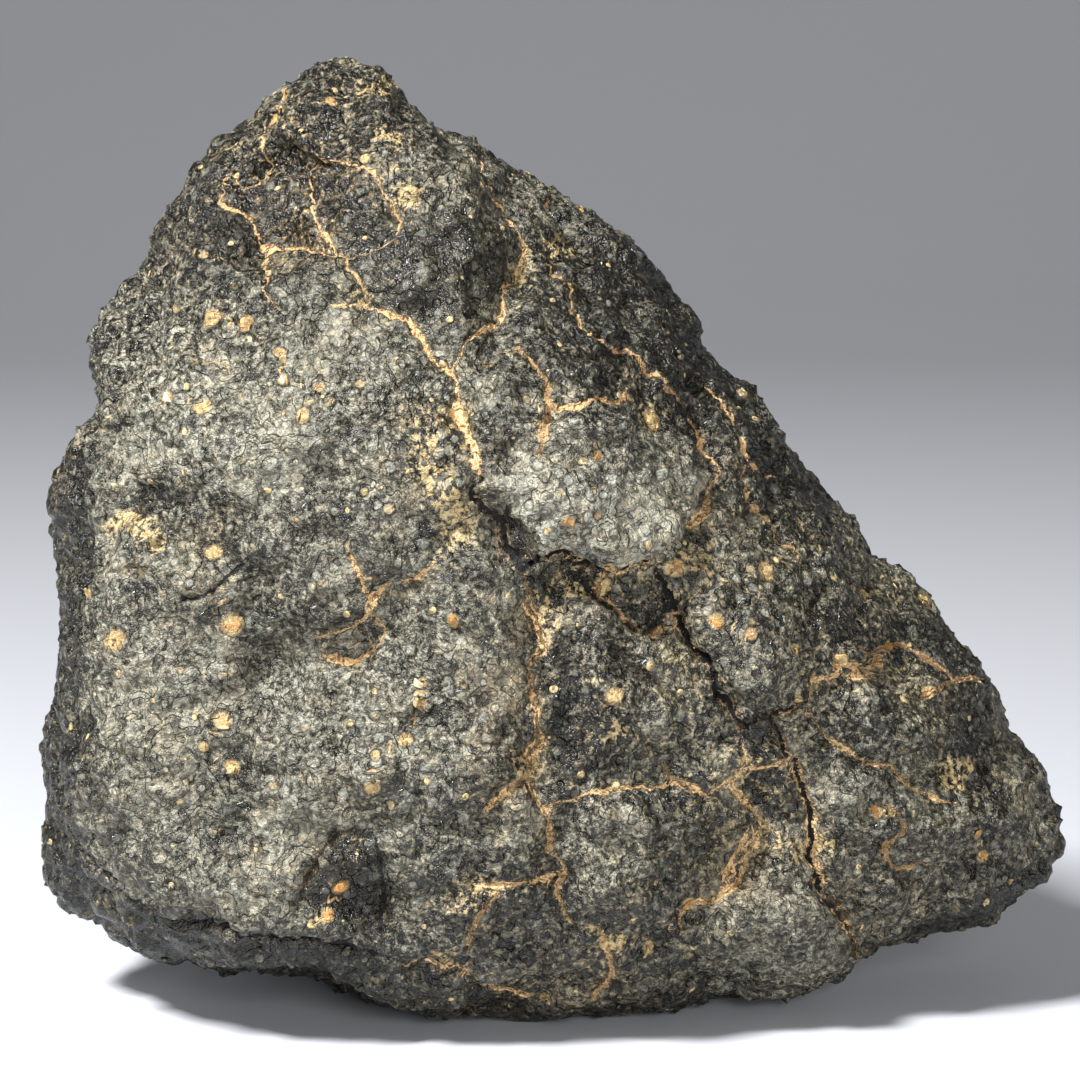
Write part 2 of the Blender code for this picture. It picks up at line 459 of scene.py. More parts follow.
            (25.0, 8.8), (26.5, 5.0), (29.4, 2.5), (32.5, -2.5),
        ],
    ),
    "nose_top": (
        0.4,
        0.4,
        0.2,
        [
            (39.4, -12.5), (42.5, -13.8), (45.6, -12.5), (48.1, -15.0), (52.5, -17.4),
        ],
    ),
    "flank_high": (
        0.2,
        0.6,
        0.2,
        [
            (21.0, 19.4), (22.8, 16.9), (24.4, 13.5), (25.6, 10.2), (27.8, 8.8), (30.0, 8.0),
        ],
    ),
    "flank_low": (
        0.3,
        0.4,
        0.18,
        [
            (37.5, -2.5), (39.0, -5.0), (41.0, -6.2), (42.5, -9.0), (43.1, -11.5),
        ],
    ),
    "low_right_loop": (
        0.2,
        0.6,
        0.18,
        [
            (22.8, -42.5), (23.8, -40.2), (25.6, -38.1), (26.5, -36.2),
        ],
    ),
    "low_right_side": (
        0.4,
        0.2,
        0.2,
        [
            (37.2, -45.6), (38.8, -48.1), (39.4, -51.2), (40.2, -54.4),
        ],
    ),
    "nose_loop": (
        0.3,
        0.4,
        0.16,
        [
            (42.5, -32.5), (45.6, -36.2), (43.1, -39.0), (45.0, -41.2), (48.8, -41.0),
        ],
    ),
    "face_hair": (
        0.4,
        0.15,
        0.16,
        [
            (7.5, -12.5), (10.2, -14.4), (12.5, -17.0), (16.0, -18.8), (18.8, -20.8),
        ],
    ),
    "wedge_line": (
        0.6,
        0.1,
        0.16,
        [
            (4.4, -5.0), (7.5, -7.1), (10.6, -9.5), (13.8, -11.2), (15.6, -10.8), (16.2, -8.5),
        ],
    ),
    "left_branch": (
        0.2,
        0.5,
        0.18,
        [
            (-27.5, -13.8), (-24.4, -15.0), (-21.9, -13.1),
        ],
    ),
    "nose_second": (
        0.2,
        0.5,
        0.16,
        [
            (36.9, -15.6), (41.2, -16.5), (43.8, -15.6),
        ],
    ),
}

# Invented cracks of the back, as seen from behind.
BACK_CRACKS = {
    "back_long": (
        0.7,
        0.4,
        0.26,
        [(-40, -35), (-20, -14), (-4, 4), (10, 22), (22, 44)],
    ),
    "back_branch": (
        0.3,
        0.8,
        0.2,
        [(-4, 4), (14, 0), (30, -8), (46, -12)],
    ),
    "back_low": (
        0.5,
        0.5,
        0.22,
        [(-20, -14), (-8, -26), (8, -30), (20, -46)],
    ),
    "back_side": (
        0.2,
        0.8,
        0.18,
        [(14, 0), (24, 14), (30, 30), (38, 40)],
    ),
    "back_low_branch": (
        0.2,
        0.9,
        0.2,
        [(8, -30), (26, -28), (42, -36)],
    ),
    "back_tie": (
        0.1,
        0.9,
        0.16,
        [(30, -8), (32, -20), (42, -36)],
    ),
    "back_west": (
        0.3,
        0.6,
        0.2,
        [(-52, -26), (-38, -18), (-20, -14)],
    ),
    "back_high": (
        0.2,
        0.8,
        0.16,
        [(10, 22), (0, 28), (-6, 30)],
    ),
}
UNSEEN_CHONDRULES = 160

# Plates and hollows of the front: how much more dust (on the undersides and partly on the dark lip, less dust
# as painted shade), how far it stands out, how calm it is, and its corners.
PLATES = {
    "central_plate": (
        0.27,
        0.45,
        0.35,
        [
            (-5.0, 7.8), (-1.2, 11.5), (3.1, 14.0), (8.8, 15.0), (14.4, 14.0), (18.8, 11.8),
            (20.5, 8.1), (20.5, 5.0), (18.5, 1.8), (16.0, -1.2), (12.5, -3.5), (8.8, -4.2),
            (4.4, -2.5), (1.0, -2.0), (-2.5, 1.2), (-4.8, 4.4),
        ],
    ),
    # The dark lip's lowered dust is partly painted shade beside the central plate's scarp.
    "dark_lip": (
        -0.36,
        -0.7,
        0.85,
        [
            (-8.0, 7.5), (-6.0, 6.5), (-3.5, 2.5), (0.6, -2.0), (0.1, -3.2), (-2.1, -4.0),
            (-4.0, -1.5), (-5.8, 2.0), (-8.0, 4.0),
        ],
    ),
    "crack_shelf": (
        -0.34,
        -0.45,
        0.6,
        [
            (-1.6, -4.5), (1.5, -3.5), (5.0, -3.8), (7.5, -6.0), (4.4, -6.5), (2.5, -9.0),
            (0.6, -9.8), (-1.0, -7.5),
        ],
    ),
    "hem_block": (
        -0.3,
        0.25,
        0.85,
        [
            (8.0, -5.6), (12.5, -5.0), (15.5, -6.5), (16.1, -9.8), (14.5, -11.2), (12.0, -10.2),
            (9.0, -7.5),
        ],
    ),
    "dark_patch": (
        -0.42,
        -0.35,
        0.55,
        [
            (2.0, -18.8), (5.2, -18.4), (8.0, -20.0), (11.0, -22.0), (12.5, -24.0), (9.8, -25.2),
            (7.5, -24.5), (6.2, -27.8), (4.2, -31.5), (1.5, -30.0), (1.1, -24.4),
        ],
    ),
    "small_block": (
        -0.3,
        0.55,
        0.9,
        [
            (25.1, -24.0), (28.1, -22.8), (29.8, -25.6), (30.8, -27.1), (28.1, -28.4),
            (25.8, -27.8),
        ],
    ),
    "under_block": (
        -0.42,
        -0.25,
        0.6,
        [
            (26.0, -29.4), (30.6, -28.2), (32.0, -31.2), (33.1, -35.2), (28.8, -35.2),
            (26.2, -32.5),
        ],
    ),
    "low_right_bulge": (
        0.1,
        0.7,
        0.3,
        [
            (20.0, -46.0), (25.0, -42.8), (31.9, -41.5), (35.8, -45.0), (37.8, -49.4),
            (38.2, -54.4), (32.5, -56.0), (22.5, -56.0), (19.0, -51.9),
        ],
    ),
    "low_middle_bulge": (
        0.14,
        0.5,
        0.3,
        [
            (6.2, -34.0), (12.5, -33.2), (14.4, -36.5), (13.8, -42.2), (9.0, -44.2), (5.5, -40.0),
        ],
    ),
    "toe_bulge": (
        0.16,
        0.5,
        0.2,
        [
            (-5.0, -32.8), (-1.0, -32.0), (-0.5, -37.8), (-3.0, -39.8), (-5.5, -37.2),
        ],
    ),
    "grain_pocket": (
        -0.34,
        -0.45,
        0.6,
        [
            (-30.0, -47.8), (-28.5, -41.0), (-25.2, -37.0), (-20.8, -37.2), (-19.9, -41.5),
            (-19.9, -46.0), (-21.0, -49.0), (-25.2, -48.2),
        ],
    ),
    "brown_plate": (
        -0.07,
        0.0,
        0.7,
        [
            (-36.2, 43.0), (-34.8, 46.2), (-29.2, 46.5), (-28.5, 42.5), (-26.5, 38.0),
            (-30.0, 36.9), (-34.8, 38.0),
        ],
    ),
    "crown_plate": (
        -0.02,
        0.35,
        0.55,
        [
            (-28.5, 46.0), (-20.9, 45.8), (-18.5, 42.5), (-17.8, 39.8), (-18.2, 38.0),
            (-24.2, 36.2), (-26.2, 38.5), (-28.0, 42.0),
        ],
    ),
    "forehead_plate": (
        0.02,
        0.25,
        0.6,
        [
            (-43.0, 34.8), (-34.8, 36.8), (-24.5, 35.0), (-21.8, 30.1), (-30.0, 29.6),
            (-36.2, 30.5), (-41.8, 31.8),
        ],
    ),
    "brow_plate": (
        -0.18,
        0.35,
        0.85,
        [
            (-19.4, 39.0), (-13.8, 41.2), (-5.0, 39.8), (-3.0, 37.2), (-3.6, 32.5), (-5.0, 27.8),
            (-9.8, 24.6), (-11.2, 22.0), (-13.8, 25.2), (-16.5, 28.0), (-20.2, 30.2), (-21.5, 34.8),
        ],
    ),
    "right_plate": (
        0.04,
        0.4,
        0.55,
        [
            (17.5, -4.8), (20.2, 2.0), (22.8, 7.0), (27.5, 4.4), (32.5, -2.5), (34.0, -12.5),
            (32.5, -18.8), (27.0, -22.2), (22.8, -17.5), (19.0, -10.2),
        ],
    ),
    "crown_pit": (
        -0.6,
        -2.1,
        0.5,
        [
            (-37.5, 47.5), (-34.8, 49.9), (-30.2, 50.0), (-27.2, 48.6), (-26.1, 47.5),
            (-30.0, 46.5), (-34.8, 45.6),
        ],
    ),
    "small_pit": (
        -0.3,
        -0.35,
        0.3,
        [
            (-51.9, -0.6), (-50.0, -0.4), (-49.0, -2.5), (-49.4, -5.0), (-51.2, -3.8),
        ],
    ),
    "left_rim_plate": (
        -0.34,
        0.0,
        0.3,
        [
            (-62.8, 14.4), (-58.0, 14.0), (-56.5, 5.0), (-57.1, -2.5), (-56.4, -12.5),
            (-57.5, -20.0), (-56.8, -27.5), (-58.2, -32.5), (-57.2, -38.8), (-60.0, -40.2),
            (-63.0, -32.5),
        ],
    ),
    "rim_shelf": (
        -0.08,
        0.35,
        0.3,
        [
            (-56.5, 12.5), (-55.0, 14.0), (-51.2, 15.0), (-50.0, 18.1), (-48.8, 23.5),
            (-53.5, 25.0), (-56.0, 19.4),
        ],
    ),
    # Undersides: their lowered dust is painted shade where the stone faces down.
    "left_underside": (
        -0.5,
        0.0,
        0.2,
        [
            (-63.8, -32.5), (-59.8, -39.0), (-55.5, -43.2), (-48.8, -46.5), (-38.8, -49.0),
            (-30.0, -50.2), (-18.5, -52.8), (-17.0, -62.5), (-60.0, -62.5), (-65.0, -45.0),
        ],
    ),
    "toe_underside": (
        -0.3,
        0.0,
        0.4,
        [
            (-17.0, -53.1), (-8.8, -55.6), (1.5, -57.5), (10.0, -57.5), (38.8, -55.6),
            (38.8, -62.5), (-17.5, -62.5),
        ],
    ),
    "nose_underside": (
        -0.3,
        0.0,
        0.7,
        [
            (40.2, -51.2), (52.5, -45.6), (59.4, -42.5), (66.2, -37.5), (67.5, -48.8),
            (41.2, -57.5),
        ],
    ),
}

# Large chondrules of the front: across, up, radius and kind.
LARGE_CHONDRULES = [
    (-38.5, -10.5, 1.18, "orange"), (-40.9, 27.5, 1.18, "tan"), (-36.9, 27.1, 0.97, "tan"),
    (-42.5, 17.0, 0.97, "tan"), (-32.2, 23.0, 0.65, "tan"), (-32.2, 20.1, 0.65, "pale"),
    (-27.5, 18.9, 0.65, "pale"), (-29.4, 15.4, 0.86, "tan"), (-46.4, 17.8, 0.65, "pale"),
    (-21.9, 47.8, 0.54, "tan"), (14.6, 15.2, 1.29, "tan"), (7.6, 10.6, 0.65, "orange"),
    (3.5, 2.2, 0.75, "orange"), (28.2, -3.9, 1.18, "tan"), (17.0, -3.5, 1.07, "orange"),
    (8.5, -3.8, 0.86, "tan"), (7.9, -5.9, 0.86, "tan"), (22.0, -10.1, 0.86, "orange"),
    (26.2, -11.9, 0.65, "tan"), (37.8, -15.2, 0.97, "tan"), (32.2, -13.8, 0.75, "tan"),
    (32.8, -20.1, 0.54, "tan"), (44.8, -12.9, 0.75, "orange"), (48.8, -18.8, 0.86, "orange"),
    (42.0, -34.0, 0.75, "orange"), (54.9, -37.0, 0.65, "orange"), (55.4, -39.6, 0.75, "orange"),
    (59.4, -43.1, 0.43, "orange"), (-11.0, -10.2, 0.75, "orange"), (-39.6, -22.5, 0.97, "tan"),
    (-42.0, -25.9, 0.54, "tan"), (-38.5, -28.5, 0.86, "tan"), (-20.9, -30.9, 0.86, "tan"),
    (-15.0, -20.6, 0.65, "tan"), (-15.2, -18.0, 0.65, "pale"), (-20.6, -26.9, 0.54, "orange"),
    (-16.9, -25.0, 0.75, "tan"), (-40.9, -1.5, 0.86, "tan"), (-56.6, -6.5, 0.75, "tan"),
    (-24.8, -44.1, 0.97, "orange"), (-26.5, -46.9, 0.75, "orange"), (-28.5, -47.8, 0.54, "tan"),
    (-12.9, -51.6, 0.75, "tan"), (-11.6, -52.8, 0.65, "tan"), (13.9, -51.5, 0.86, "tan"),
    (9.1, -19.4, 0.97, "tan"), (18.8, -45.6, 0.86, "orange"), (-33.9, 53.1, 0.97, "orange"),
    (-31.8, 55.6, 0.86, "orange"), (-26.1, 54.8, 0.65, "orange"), (25.0, 18.1, 0.65, "pale"),
    (25.2, 7.2, 0.43, "pale"), (37.0, -4.6, 0.54, "pale"), (-52.8, -12.6, 1.29, "tan"),
    (-45.0, 28.8, 0.54, "tan"), (5.6, 10.0, 0.43, "pale"), (13.1, -0.5, 0.43, "pale"),
    (7.2, 3.1, 0.43, "pale"), (8.4, -50.6, 0.86, "tan"), (10.2, -50.1, 0.65, "pale"),
    (43.1, -14.4, 0.54, "orange"), (43.8, -34.1, 0.43, "tan"),
]

# Patches of the front: across, up, half width, half height and strength.
# Dust on the front; some patches are instead painted shade in hollows and under the lower edge, and one is
# painted light.
DUST_AND_SHADE = [
    (-33.8, -20.0, 23.8, 23.8, 0.1), (-48.8, -27.5, 10.0, 20.0, 0.04),
    (-26.2, 13.8, 18.8, 8.8, 0.12), (-42.5, 15.0, 13.8, 7.5, 0.08), (-13.8, -7.5, 10.0, 11.2, 0.02),
    (-12.5, -26.2, 11.2, 7.5, 0.0), (-33.8, 40.6, 11.2, 8.8, -0.16), (-26.2, 13.8, 7.5, 6.2, -0.04),
    (10.0, 27.5, 10.0, 8.8, -0.06), (27.5, -12.5, 20.0, 18.8, 0.02), (51.2, -30.0, 8.8, 11.2, 0.12),
    # (-38.1, -8.5), (-38.8, -31.5) and (-26.2, 4.4): painted shade in hollows.
    (-38.1, -8.5, 9.4, 2.2, -0.16), (-38.8, -31.5, 4.0, 2.5, -0.18), (-26.2, 4.4, 3.5, 3.2, -0.14),
    (-51.2, -12.5, 7.5, 7.5, 0.06), (-40.6, 2.5, 5.0, 3.8, -0.08), (-23.8, -41.9, 5.6, 5.6, -0.12),
    (-35.0, 43.8, 15.0, 7.5, -0.06), (-46.2, 37.5, 8.8, 7.5, -0.16),
    (-27.5, 54.4, 12.5, 4.2, -0.22), (-41.9, 51.2, 5.0, 6.2, -0.2), (-8.8, 26.2, 6.2, 7.5, -0.02),
    (3.8, 30.0, 8.8, 10.0, -0.18), (17.5, 25.0, 11.2, 15.0, -0.36), (7.5, 7.5, 11.2, 7.5, 0.04),
    (18.8, -7.5, 7.5, 8.8, -0.06), (2.5, -12.5, 7.5, 7.5, 0.02), (20.0, -17.5, 7.5, 6.2, -0.06),
    (13.8, -52.5, 8.8, 5.0, -0.22), (-11.2, -48.8, 7.5, 6.2, -0.14), (-2.5, -47.5, 6.2, 6.2, -0.16),
    (55.0, -20.0, 7.5, 17.5, -0.28), (48.8, -35.0, 11.2, 7.5, -0.06),
    (40.0, -12.5, 10.0, 6.2, -0.2), (32.5, 7.5, 6.2, 8.8, -0.3), (20.0, -35.0, 5.0, 7.5, -0.16),
    (40.0, -31.2, 6.2, 3.8, 0.1), (7.5, -2.5, 2.5, 2.5, -0.1), (12.5, -45.0, 5.0, 2.5, -0.1),
    (52.5, -32.5, 7.5, 11.2, 0.06), (-12.5, -54.4, 7.5, 3.0, 0.08), (18.8, 36.2, 7.5, 11.2, -0.1),
    (-45.0, -10.0, 13.8, 20.0, -0.02), (-42.5, -28.8, 16.2, 10.0, -0.05),
    (-12.5, -10.0, 7.5, 7.5, -0.06), (-7.5, -18.8, 8.8, 10.0, -0.04), (7.5, 4.4, 10.0, 8.8, 0.05),
    # (-41.2, -9.0) and (-25.6, -9.5): painted shade along the same hollow streak.
    (3.8, 8.8, 7.5, 3.8, 0.04), (-41.2, -9.0, 5.0, 2.0, -0.16), (-25.6, -9.5, 4.2, 2.0, -0.18),
    # (-6.0, 32.2): painted light on a face turned away from the key light.
    (-13.8, -36.2, 8.8, 7.5, -0.06), (18.8, 30.0, 6.2, 10.0, -0.12), (-6.0, 32.2, 3.8, 6.5, 0.14),
    (-13.8, 13.8, 5.6, 6.2, -0.07), (7.5, -20.6, 5.0, 5.0, -0.08), (27.5, 17.5, 6.2, 10.0, -0.06),
    # (-40.0, -51.2): painted shade on the band under the lower left edge.
    (-40.0, -51.2, 16.2, 3.2, -0.1), (-11.2, 37.5, 7.5, 6.2, -0.04),
    (50.0, -30.0, 8.8, 11.2, -0.03), (-11.2, -20.0, 11.2, 16.2, 0.05),
    (27.5, -22.5, 18.8, 21.2, 0.015), (-30.0, 44.4, 15.0, 10.6, -0.06),
    (10.0, 31.2, 11.2, 7.5, -0.06),
]

RUST = [
    (-14.4, 9.4, 3.0, 2.8, 0.32), (-10.6, 1.9, 1.6, 4.2, 0.4), (-16.2, 16.2, 1.5, 3.0, 0.17),
    (-12.5, 5.0, 2.5, 1.8, 0.1), (-51.0, 2.2, 3.0, 1.5, 0.42), (-48.1, 0.0, 1.5, 1.1, 0.38),
    (-16.5, 43.5, 2.5, 1.2, 0.42), (-22.2, 30.5, 1.8, 1.0, 0.3), (-40.6, 35.6, 3.2, 0.8, 0.3),
    (1.0, -10.0, 1.2, 2.8, 0.28), (8.8, -23.5, 1.5, 0.8, 0.16), (34.4, -39.0, 3.5, 1.4, 0.3),
    (14.4, 15.5, 1.8, 1.5, 0.3), (-25.9, -25.0, 1.2, 1.2, 0.2), (53.4, -28.5, 2.2, 2.2, 0.4),
    (-1.9, 34.8, 1.1, 2.2, 0.3), (2.5, 36.9, 2.8, 1.5, 0.3), (-12.5, 14.4, 2.8, 2.8, 0.2),
    (8.8, -20.0, 1.5, 1.0, 0.16), (6.2, -6.2, 3.0, 1.2, 0.2), (25.6, -28.1, 1.8, 1.5, 0.2),
    (-1.2, -28.8, 1.5, 1.8, 0.34), (-7.5, -43.1, 2.2, 0.9, 0.22), (9.0, -50.2, 2.0, 1.2, 0.3),
    (-12.5, -52.1, 1.5, 1.2, 0.3), (-18.8, 50.6, 2.0, 1.5, 0.25), (28.8, -10.0, 21.2, 20.0, 0.09),
    (7.5, -35.0, 18.8, 15.0, 0.08), (-30.0, 50.0, 17.5, 11.2, 0.08), (-20.6, 56.5, 4.2, 0.9, 0.3),
    (20.0, -2.5, 1.8, 2.0, 0.25), (0.0, 13.8, 1.2, 2.5, 0.22), (2.5, 10.6, 2.5, 0.8, 0.2),
    (-10.0, -45.0, 2.5, 1.8, 0.2), (28.8, -37.5, 2.0, 1.2, 0.2), (5.0, -18.0, 2.5, 0.6, 0.16),
    (9.0, -19.0, 1.1, 0.9, 0.18), (8.6, -23.1, 1.5, 0.8, 0.14),
]

KNOBBLY = [
    (-45.0, 35.0, 10.0, 10.0, 0.7), (-30.0, 52.5, 13.8, 7.5, 0.9), (-51.2, 23.8, 6.2, 7.5, 0.9),
    (13.8, 26.2, 13.8, 13.8, 0.8), (-30.0, -54.4, 17.5, 3.2, 0.6), (40.0, -18.8, 15.0, 11.2, 0.5),
    (7.5, -13.8, 7.5, 6.2, 0.5), (2.5, -51.2, 17.5, 6.2, 0.5), (45.0, -42.5, 12.5, 7.5, 0.4),
    (12.5, 15.0, 15.0, 2.5, 0.4),
]

STRATA = [
    (-60.0, -36.2, 3.8, 6.2, 0.7), (-51.2, -46.2, 8.8, 4.2, 1), (-37.5, -50.6, 11.2, 4.2, 1),
    (-25.0, -53.5, 10.0, 3.8, 1), (-58.8, -7.5, 2.5, 27.5, 0.15), (12.5, -57.5, 20.0, 3.0, 0.6),
    (45.0, -48.8, 11.2, 3.8, 0.5),
]

WARM = [
    (-31.2, 42.0, 7.0, 6.0, 0.95), (-28.8, 48.8, 15.0, 8.8, 0.35), (24.4, -40.0, 5.0, 6.2, 0.45),
    (5.6, -54.4, 7.5, 3.8, 0.5), (45.0, -45.0, 8.8, 6.2, 0.3), (-13.8, 10.0, 7.5, 7.5, 0.3),
    (2.5, -12.5, 6.2, 6.2, 0.25), (-3.8, -25.0, 5.0, 11.2, 0.3), (-48.8, 37.5, 7.5, 5.0, 0.3),
    (-41.2, 0.6, 2.5, 2.5, 0.5),
]

RINGED = [
    (-15.0, 10.0, 10.0, 10.0, 0.9), (-36.2, -2.5, 11.2, 7.5, 0.4), (-20.0, 23.8, 7.5, 7.5, 0.4),
    (7.5, 6.2, 8.8, 7.5, 0.55), (-13.8, -18.8, 10.0, 7.5, 0.5), (-20.0, -30.0, 6.2, 6.2, 0.5),
    (26.2, -7.5, 7.5, 7.5, 0.4), (-38.8, -30.0, 15.0, 7.5, 0.3),
]

# Dust runs from 0, bare black crust, to 1, all pale. The patches and plates change DUST_LEVEL, and where some
# of them lower it in hollows and on undersides it is painted shade.
DUST_LEVEL = 0.455
SIDE_DUST_LEVEL = 0.31
RUST_LEVEL = 0.20
RINGED_LEVEL = 0.34

COLOURS = {
    "black": (0.0060, 0.0056, 0.0030, 1),
    "charcoal": (0.0370, 0.0350, 0.0215, 1),
    "brown_black": (0.045, 0.030, 0.017, 1),
    "dust_dark": (0.172, 0.169, 0.127, 1),
    "dust_pale": (0.412, 0.420, 0.356, 1),
    "rust": (0.330, 0.190, 0.065, 1),
    "vein": (0.800, 0.535, 0.265, 1),
    "vein_dark": (0.26, 0.135, 0.045, 1),
    # Near black: painted shade inside open cracks.
    "gap": (0.0025, 0.0022, 0.0020, 1),
    "sand": (0.590, 0.440, 0.205, 1),
    "orange": (0.590, 0.270, 0.060, 1),
    "tan": (0.560, 0.400, 0.175, 1),
    "pale": (0.680, 0.580, 0.320, 1),
    "table": (0.560, 0.575, 0.610, 1),
}


# Nodes, for materials and for Geometry Nodes alike


def put(tree, kind, inputs=None, **settings):
    """Adds a node. An input given as a socket is linked, and any other value is set on it."""
    node = tree.nodes.new(kind)
    for name, value in settings.items():
        setattr(node, name, value)
    for name, value in (inputs or {}).items():
        if isinstance(value, bpy.types.NodeSocket):
            tree.links.new(value, node.inputs[name])
        else:
            node.inputs[name].default_value = value
    return node


def sums(tree, operation, *values, clamp=False):
    """A Math node's result."""
    inputs = dict(enumerate(values))
    return put(tree, "ShaderNodeMath", inputs, operation=operation, use_clamp=clamp).outputs[0]


def add(tree, first, *others):
    """Several numbers added up."""
    total = first
    for other in others:
        total = sums(tree, "ADD", total, other)
    return total


def times(tree, first, *others):
    """Several numbers multiplied."""
    product = first
    for other in others:
        product = sums(tree, "MULTIPLY", product, other)
    return product


def stretched(tree, vector, factor):
    """A vector times a number."""
    inputs = {0: vector, "Scale": factor}
    return put(tree, "ShaderNodeVectorMath", inputs, operation="SCALE").outputs[0]


def moved(tree, vector, offset):
    """Two vectors added."""
    return put(tree, "ShaderNodeVectorMath", {0: vector, 1: offset}, operation="ADD").outputs[0]


def length(tree, vector):
    """A vector's length."""
    return put(tree, "ShaderNodeVectorMath", {0: vector}, operation="LENGTH").outputs["Value"]


def eased(tree, value, start, end, low=0.0, high=1.0):
    """Low up to start, high from end on, and a smooth change between them."""
    inputs = {"Value": value, "From Min": start, "From Max": end, "To Min": low, "To Max": high}
    return put(tree, "ShaderNodeMapRange", inputs, interpolation_type="SMOOTHSTEP").outputs[0]


def cloudy(tree, place, size, detail=3.0, roughness=0.55):
    """Soft noise from 0 to 1 whose blotches are about size across."""
    inputs = {"Vector": place, "Scale": 1 / size, "Detail": detail, "Roughness": roughness}
    return put(tree, "ShaderNodeTexNoise", inputs).outputs[0]


def shifting(tree, place, size, reach):
    """The place, pushed about by noise, so that a pattern on it loses its regular look."""
    clouds = put(tree, "ShaderNodeTexNoise", {"Vector": place, "Scale": 1 / size, "Detail": 2.0})
    centred = moved(tree, clouds.outputs["Color"], (-0.5, -0.5, -0.5))
    return moved(tree, place, stretched(tree, centred, 2 * reach))


def cells(tree, place, size, feature="F1", **settings):
    """Voronoi cells about size across."""
    inputs = {"Vector": place, "Scale": 1 / size}
    return put(tree, "ShaderNodeTexVoronoi", inputs, feature=feature, **settings)


def blend(tree, factor, first, second):
    """Two colours mixed."""
    inputs = {0: factor, 6: first, 7: second}
    return put(tree, "ShaderNodeMix", inputs, data_type="RGBA").outputs[2]


def painted(tree, name, output="Fac"):
    """A number or vector that each of the piece's points carries."""
    if tree.bl_idname == "GeometryNodeTree":
        kind = "FLOAT_VECTOR" if output == "Vector" else "FLOAT"
        node = put(tree, "GeometryNodeInputNamedAttribute", {"Name": name}, data_type=kind)
        return node.outputs["Attribute"]
    return put(tree, "ShaderNodeAttribute", attribute_name=name).outputs[output]


def place_in_mm(tree):
    """The place on the object in millimetres."""
    if tree.bl_idname == "GeometryNodeTree":
        place = put(tree, "GeometryNodeInputPosition").outputs[0]
    else:
        place = put(tree, "ShaderNodeTexCoord").outputs["Object"]
    return stretched(tree, place, 1000.0)


# Effects that several materials share


def effect(name, inputs, outputs, colour_output=None):
    """An empty shader node group with its inputs and outputs made."""
    tree = bpy.data.node_groups.new(name, "ShaderNodeTree")
    for label, value in inputs.items():
        kind = "NodeSocketVector" if value is None else "NodeSocketFloat"
        socket = tree.interface.new_socket(label, in_out="INPUT", socket_type=kind)
        if value is not None:
            socket.default_value = value
    for label in outputs:
        tree.interface.new_socket(label, in_out="OUTPUT", socket_type="NodeSocketFloat")
    if colour_output:
        face = tree.interface
        face.new_socket(colour_output, in_out="OUTPUT", socket_type="NodeSocketColor")
    taken = tree.nodes.new("NodeGroupInput")
    given = tree.nodes.new("NodeGroupOutput")
    return tree, taken.outputs, given.inputs


def speckled_grain():
    """Swirling fine grain: a speckle from 0 to 1 for colour, creases painted dark as shade, and the height.
    """
    tree, taken, given = effect(
        "speckled_grain", {"Place": None, "Grain Size": 1.1}, ["Speckle", "Crease", "Height", "Across", "Up"]
    )
    size = sums(tree, "DIVIDE", 1.0, taken["Grain Size"])
    place = stretched(tree, taken["Place"], size)
    inputs = {"Vector": place, "Scale": 1.0, "Detail": 3.5, "Roughness": 0.70}
    swirl = put(tree, "ShaderNodeTexNoise", inputs).outputs[0]
    crisp = eased(tree, swirl, 0.40, 0.60, 0.26, 0.74)
    speckle = sums(tree, "MULTIPLY_ADD", sums(tree, "SUBTRACT", swirl, 0.5), 1.0, crisp, clamp=True)
    tree.links.new(speckle, given["Speckle"])
    flat_place = put(tree, "ShaderNodeVectorMath", {0: place, 1: (0.45, 0.45, 0.75)})
    flat_place.operation = "MULTIPLY"
    folds = cloudy(tree, flat_place.outputs[0], 1.7, 3.0, 0.6)
    line = sums(tree, "ABSOLUTE", sums(tree, "SUBTRACT", folds, 0.5))
    crease = eased(tree, line, 0.020, 0.004)
    tree.links.new(crease, given["Crease"])
    tree.links.new(sums(tree, "SUBTRACT", swirl, 0.5), given["Across"])
    tree.links.new(sums(tree, "SUBTRACT", folds, 0.5), given["Up"])
    height = add(tree, times(tree, swirl, 1.2), times(tree, crease, -0.30))
    tree.links.new(height, given["Height"])
    return tree


def chondrule_rings():
    """Small round chondrules in the stone: pale discs, the dark rings round them and a tint."""
    tree, taken, given = effect(
        "chondrule_rings",
        {"Place": None, "Spacing": 2.0, "Share": 0.5, "Radius": 0.3},
        ["Disc", "Rim", "Tint"],
    )
    size = sums(tree, "DIVIDE", 1.0, taken["Spacing"])
    place = stretched(tree, taken["Place"], size)
    found = cells(tree, place, 1.0)
    random = put(tree, "ShaderNodeSeparateColor", {0: found.outputs["Color"]}).outputs
    chosen = sums(tree, "LESS_THAN", random["Red"], taken["Share"])
    wide = sums(tree, "MULTIPLY_ADD", random["Green"], 0.8, 0.5)
    radius = times(tree, wide, taken["Radius"])
    apart = sums(tree, "DIVIDE", found.outputs["Distance"], radius)
    disc = times(tree, eased(tree, apart, 0.95, 0.6), chosen)
    from_rim = sums(tree, "ABSOLUTE", sums(tree, "SUBTRACT", apart, 1.12))
    tree.links.new(disc, given["Disc"])
    tree.links.new(times(tree, eased(tree, from_rim, 0.34, 0.10), chosen), given["Rim"])
    tree.links.new(random["Blue"], given["Tint"])
    return tree


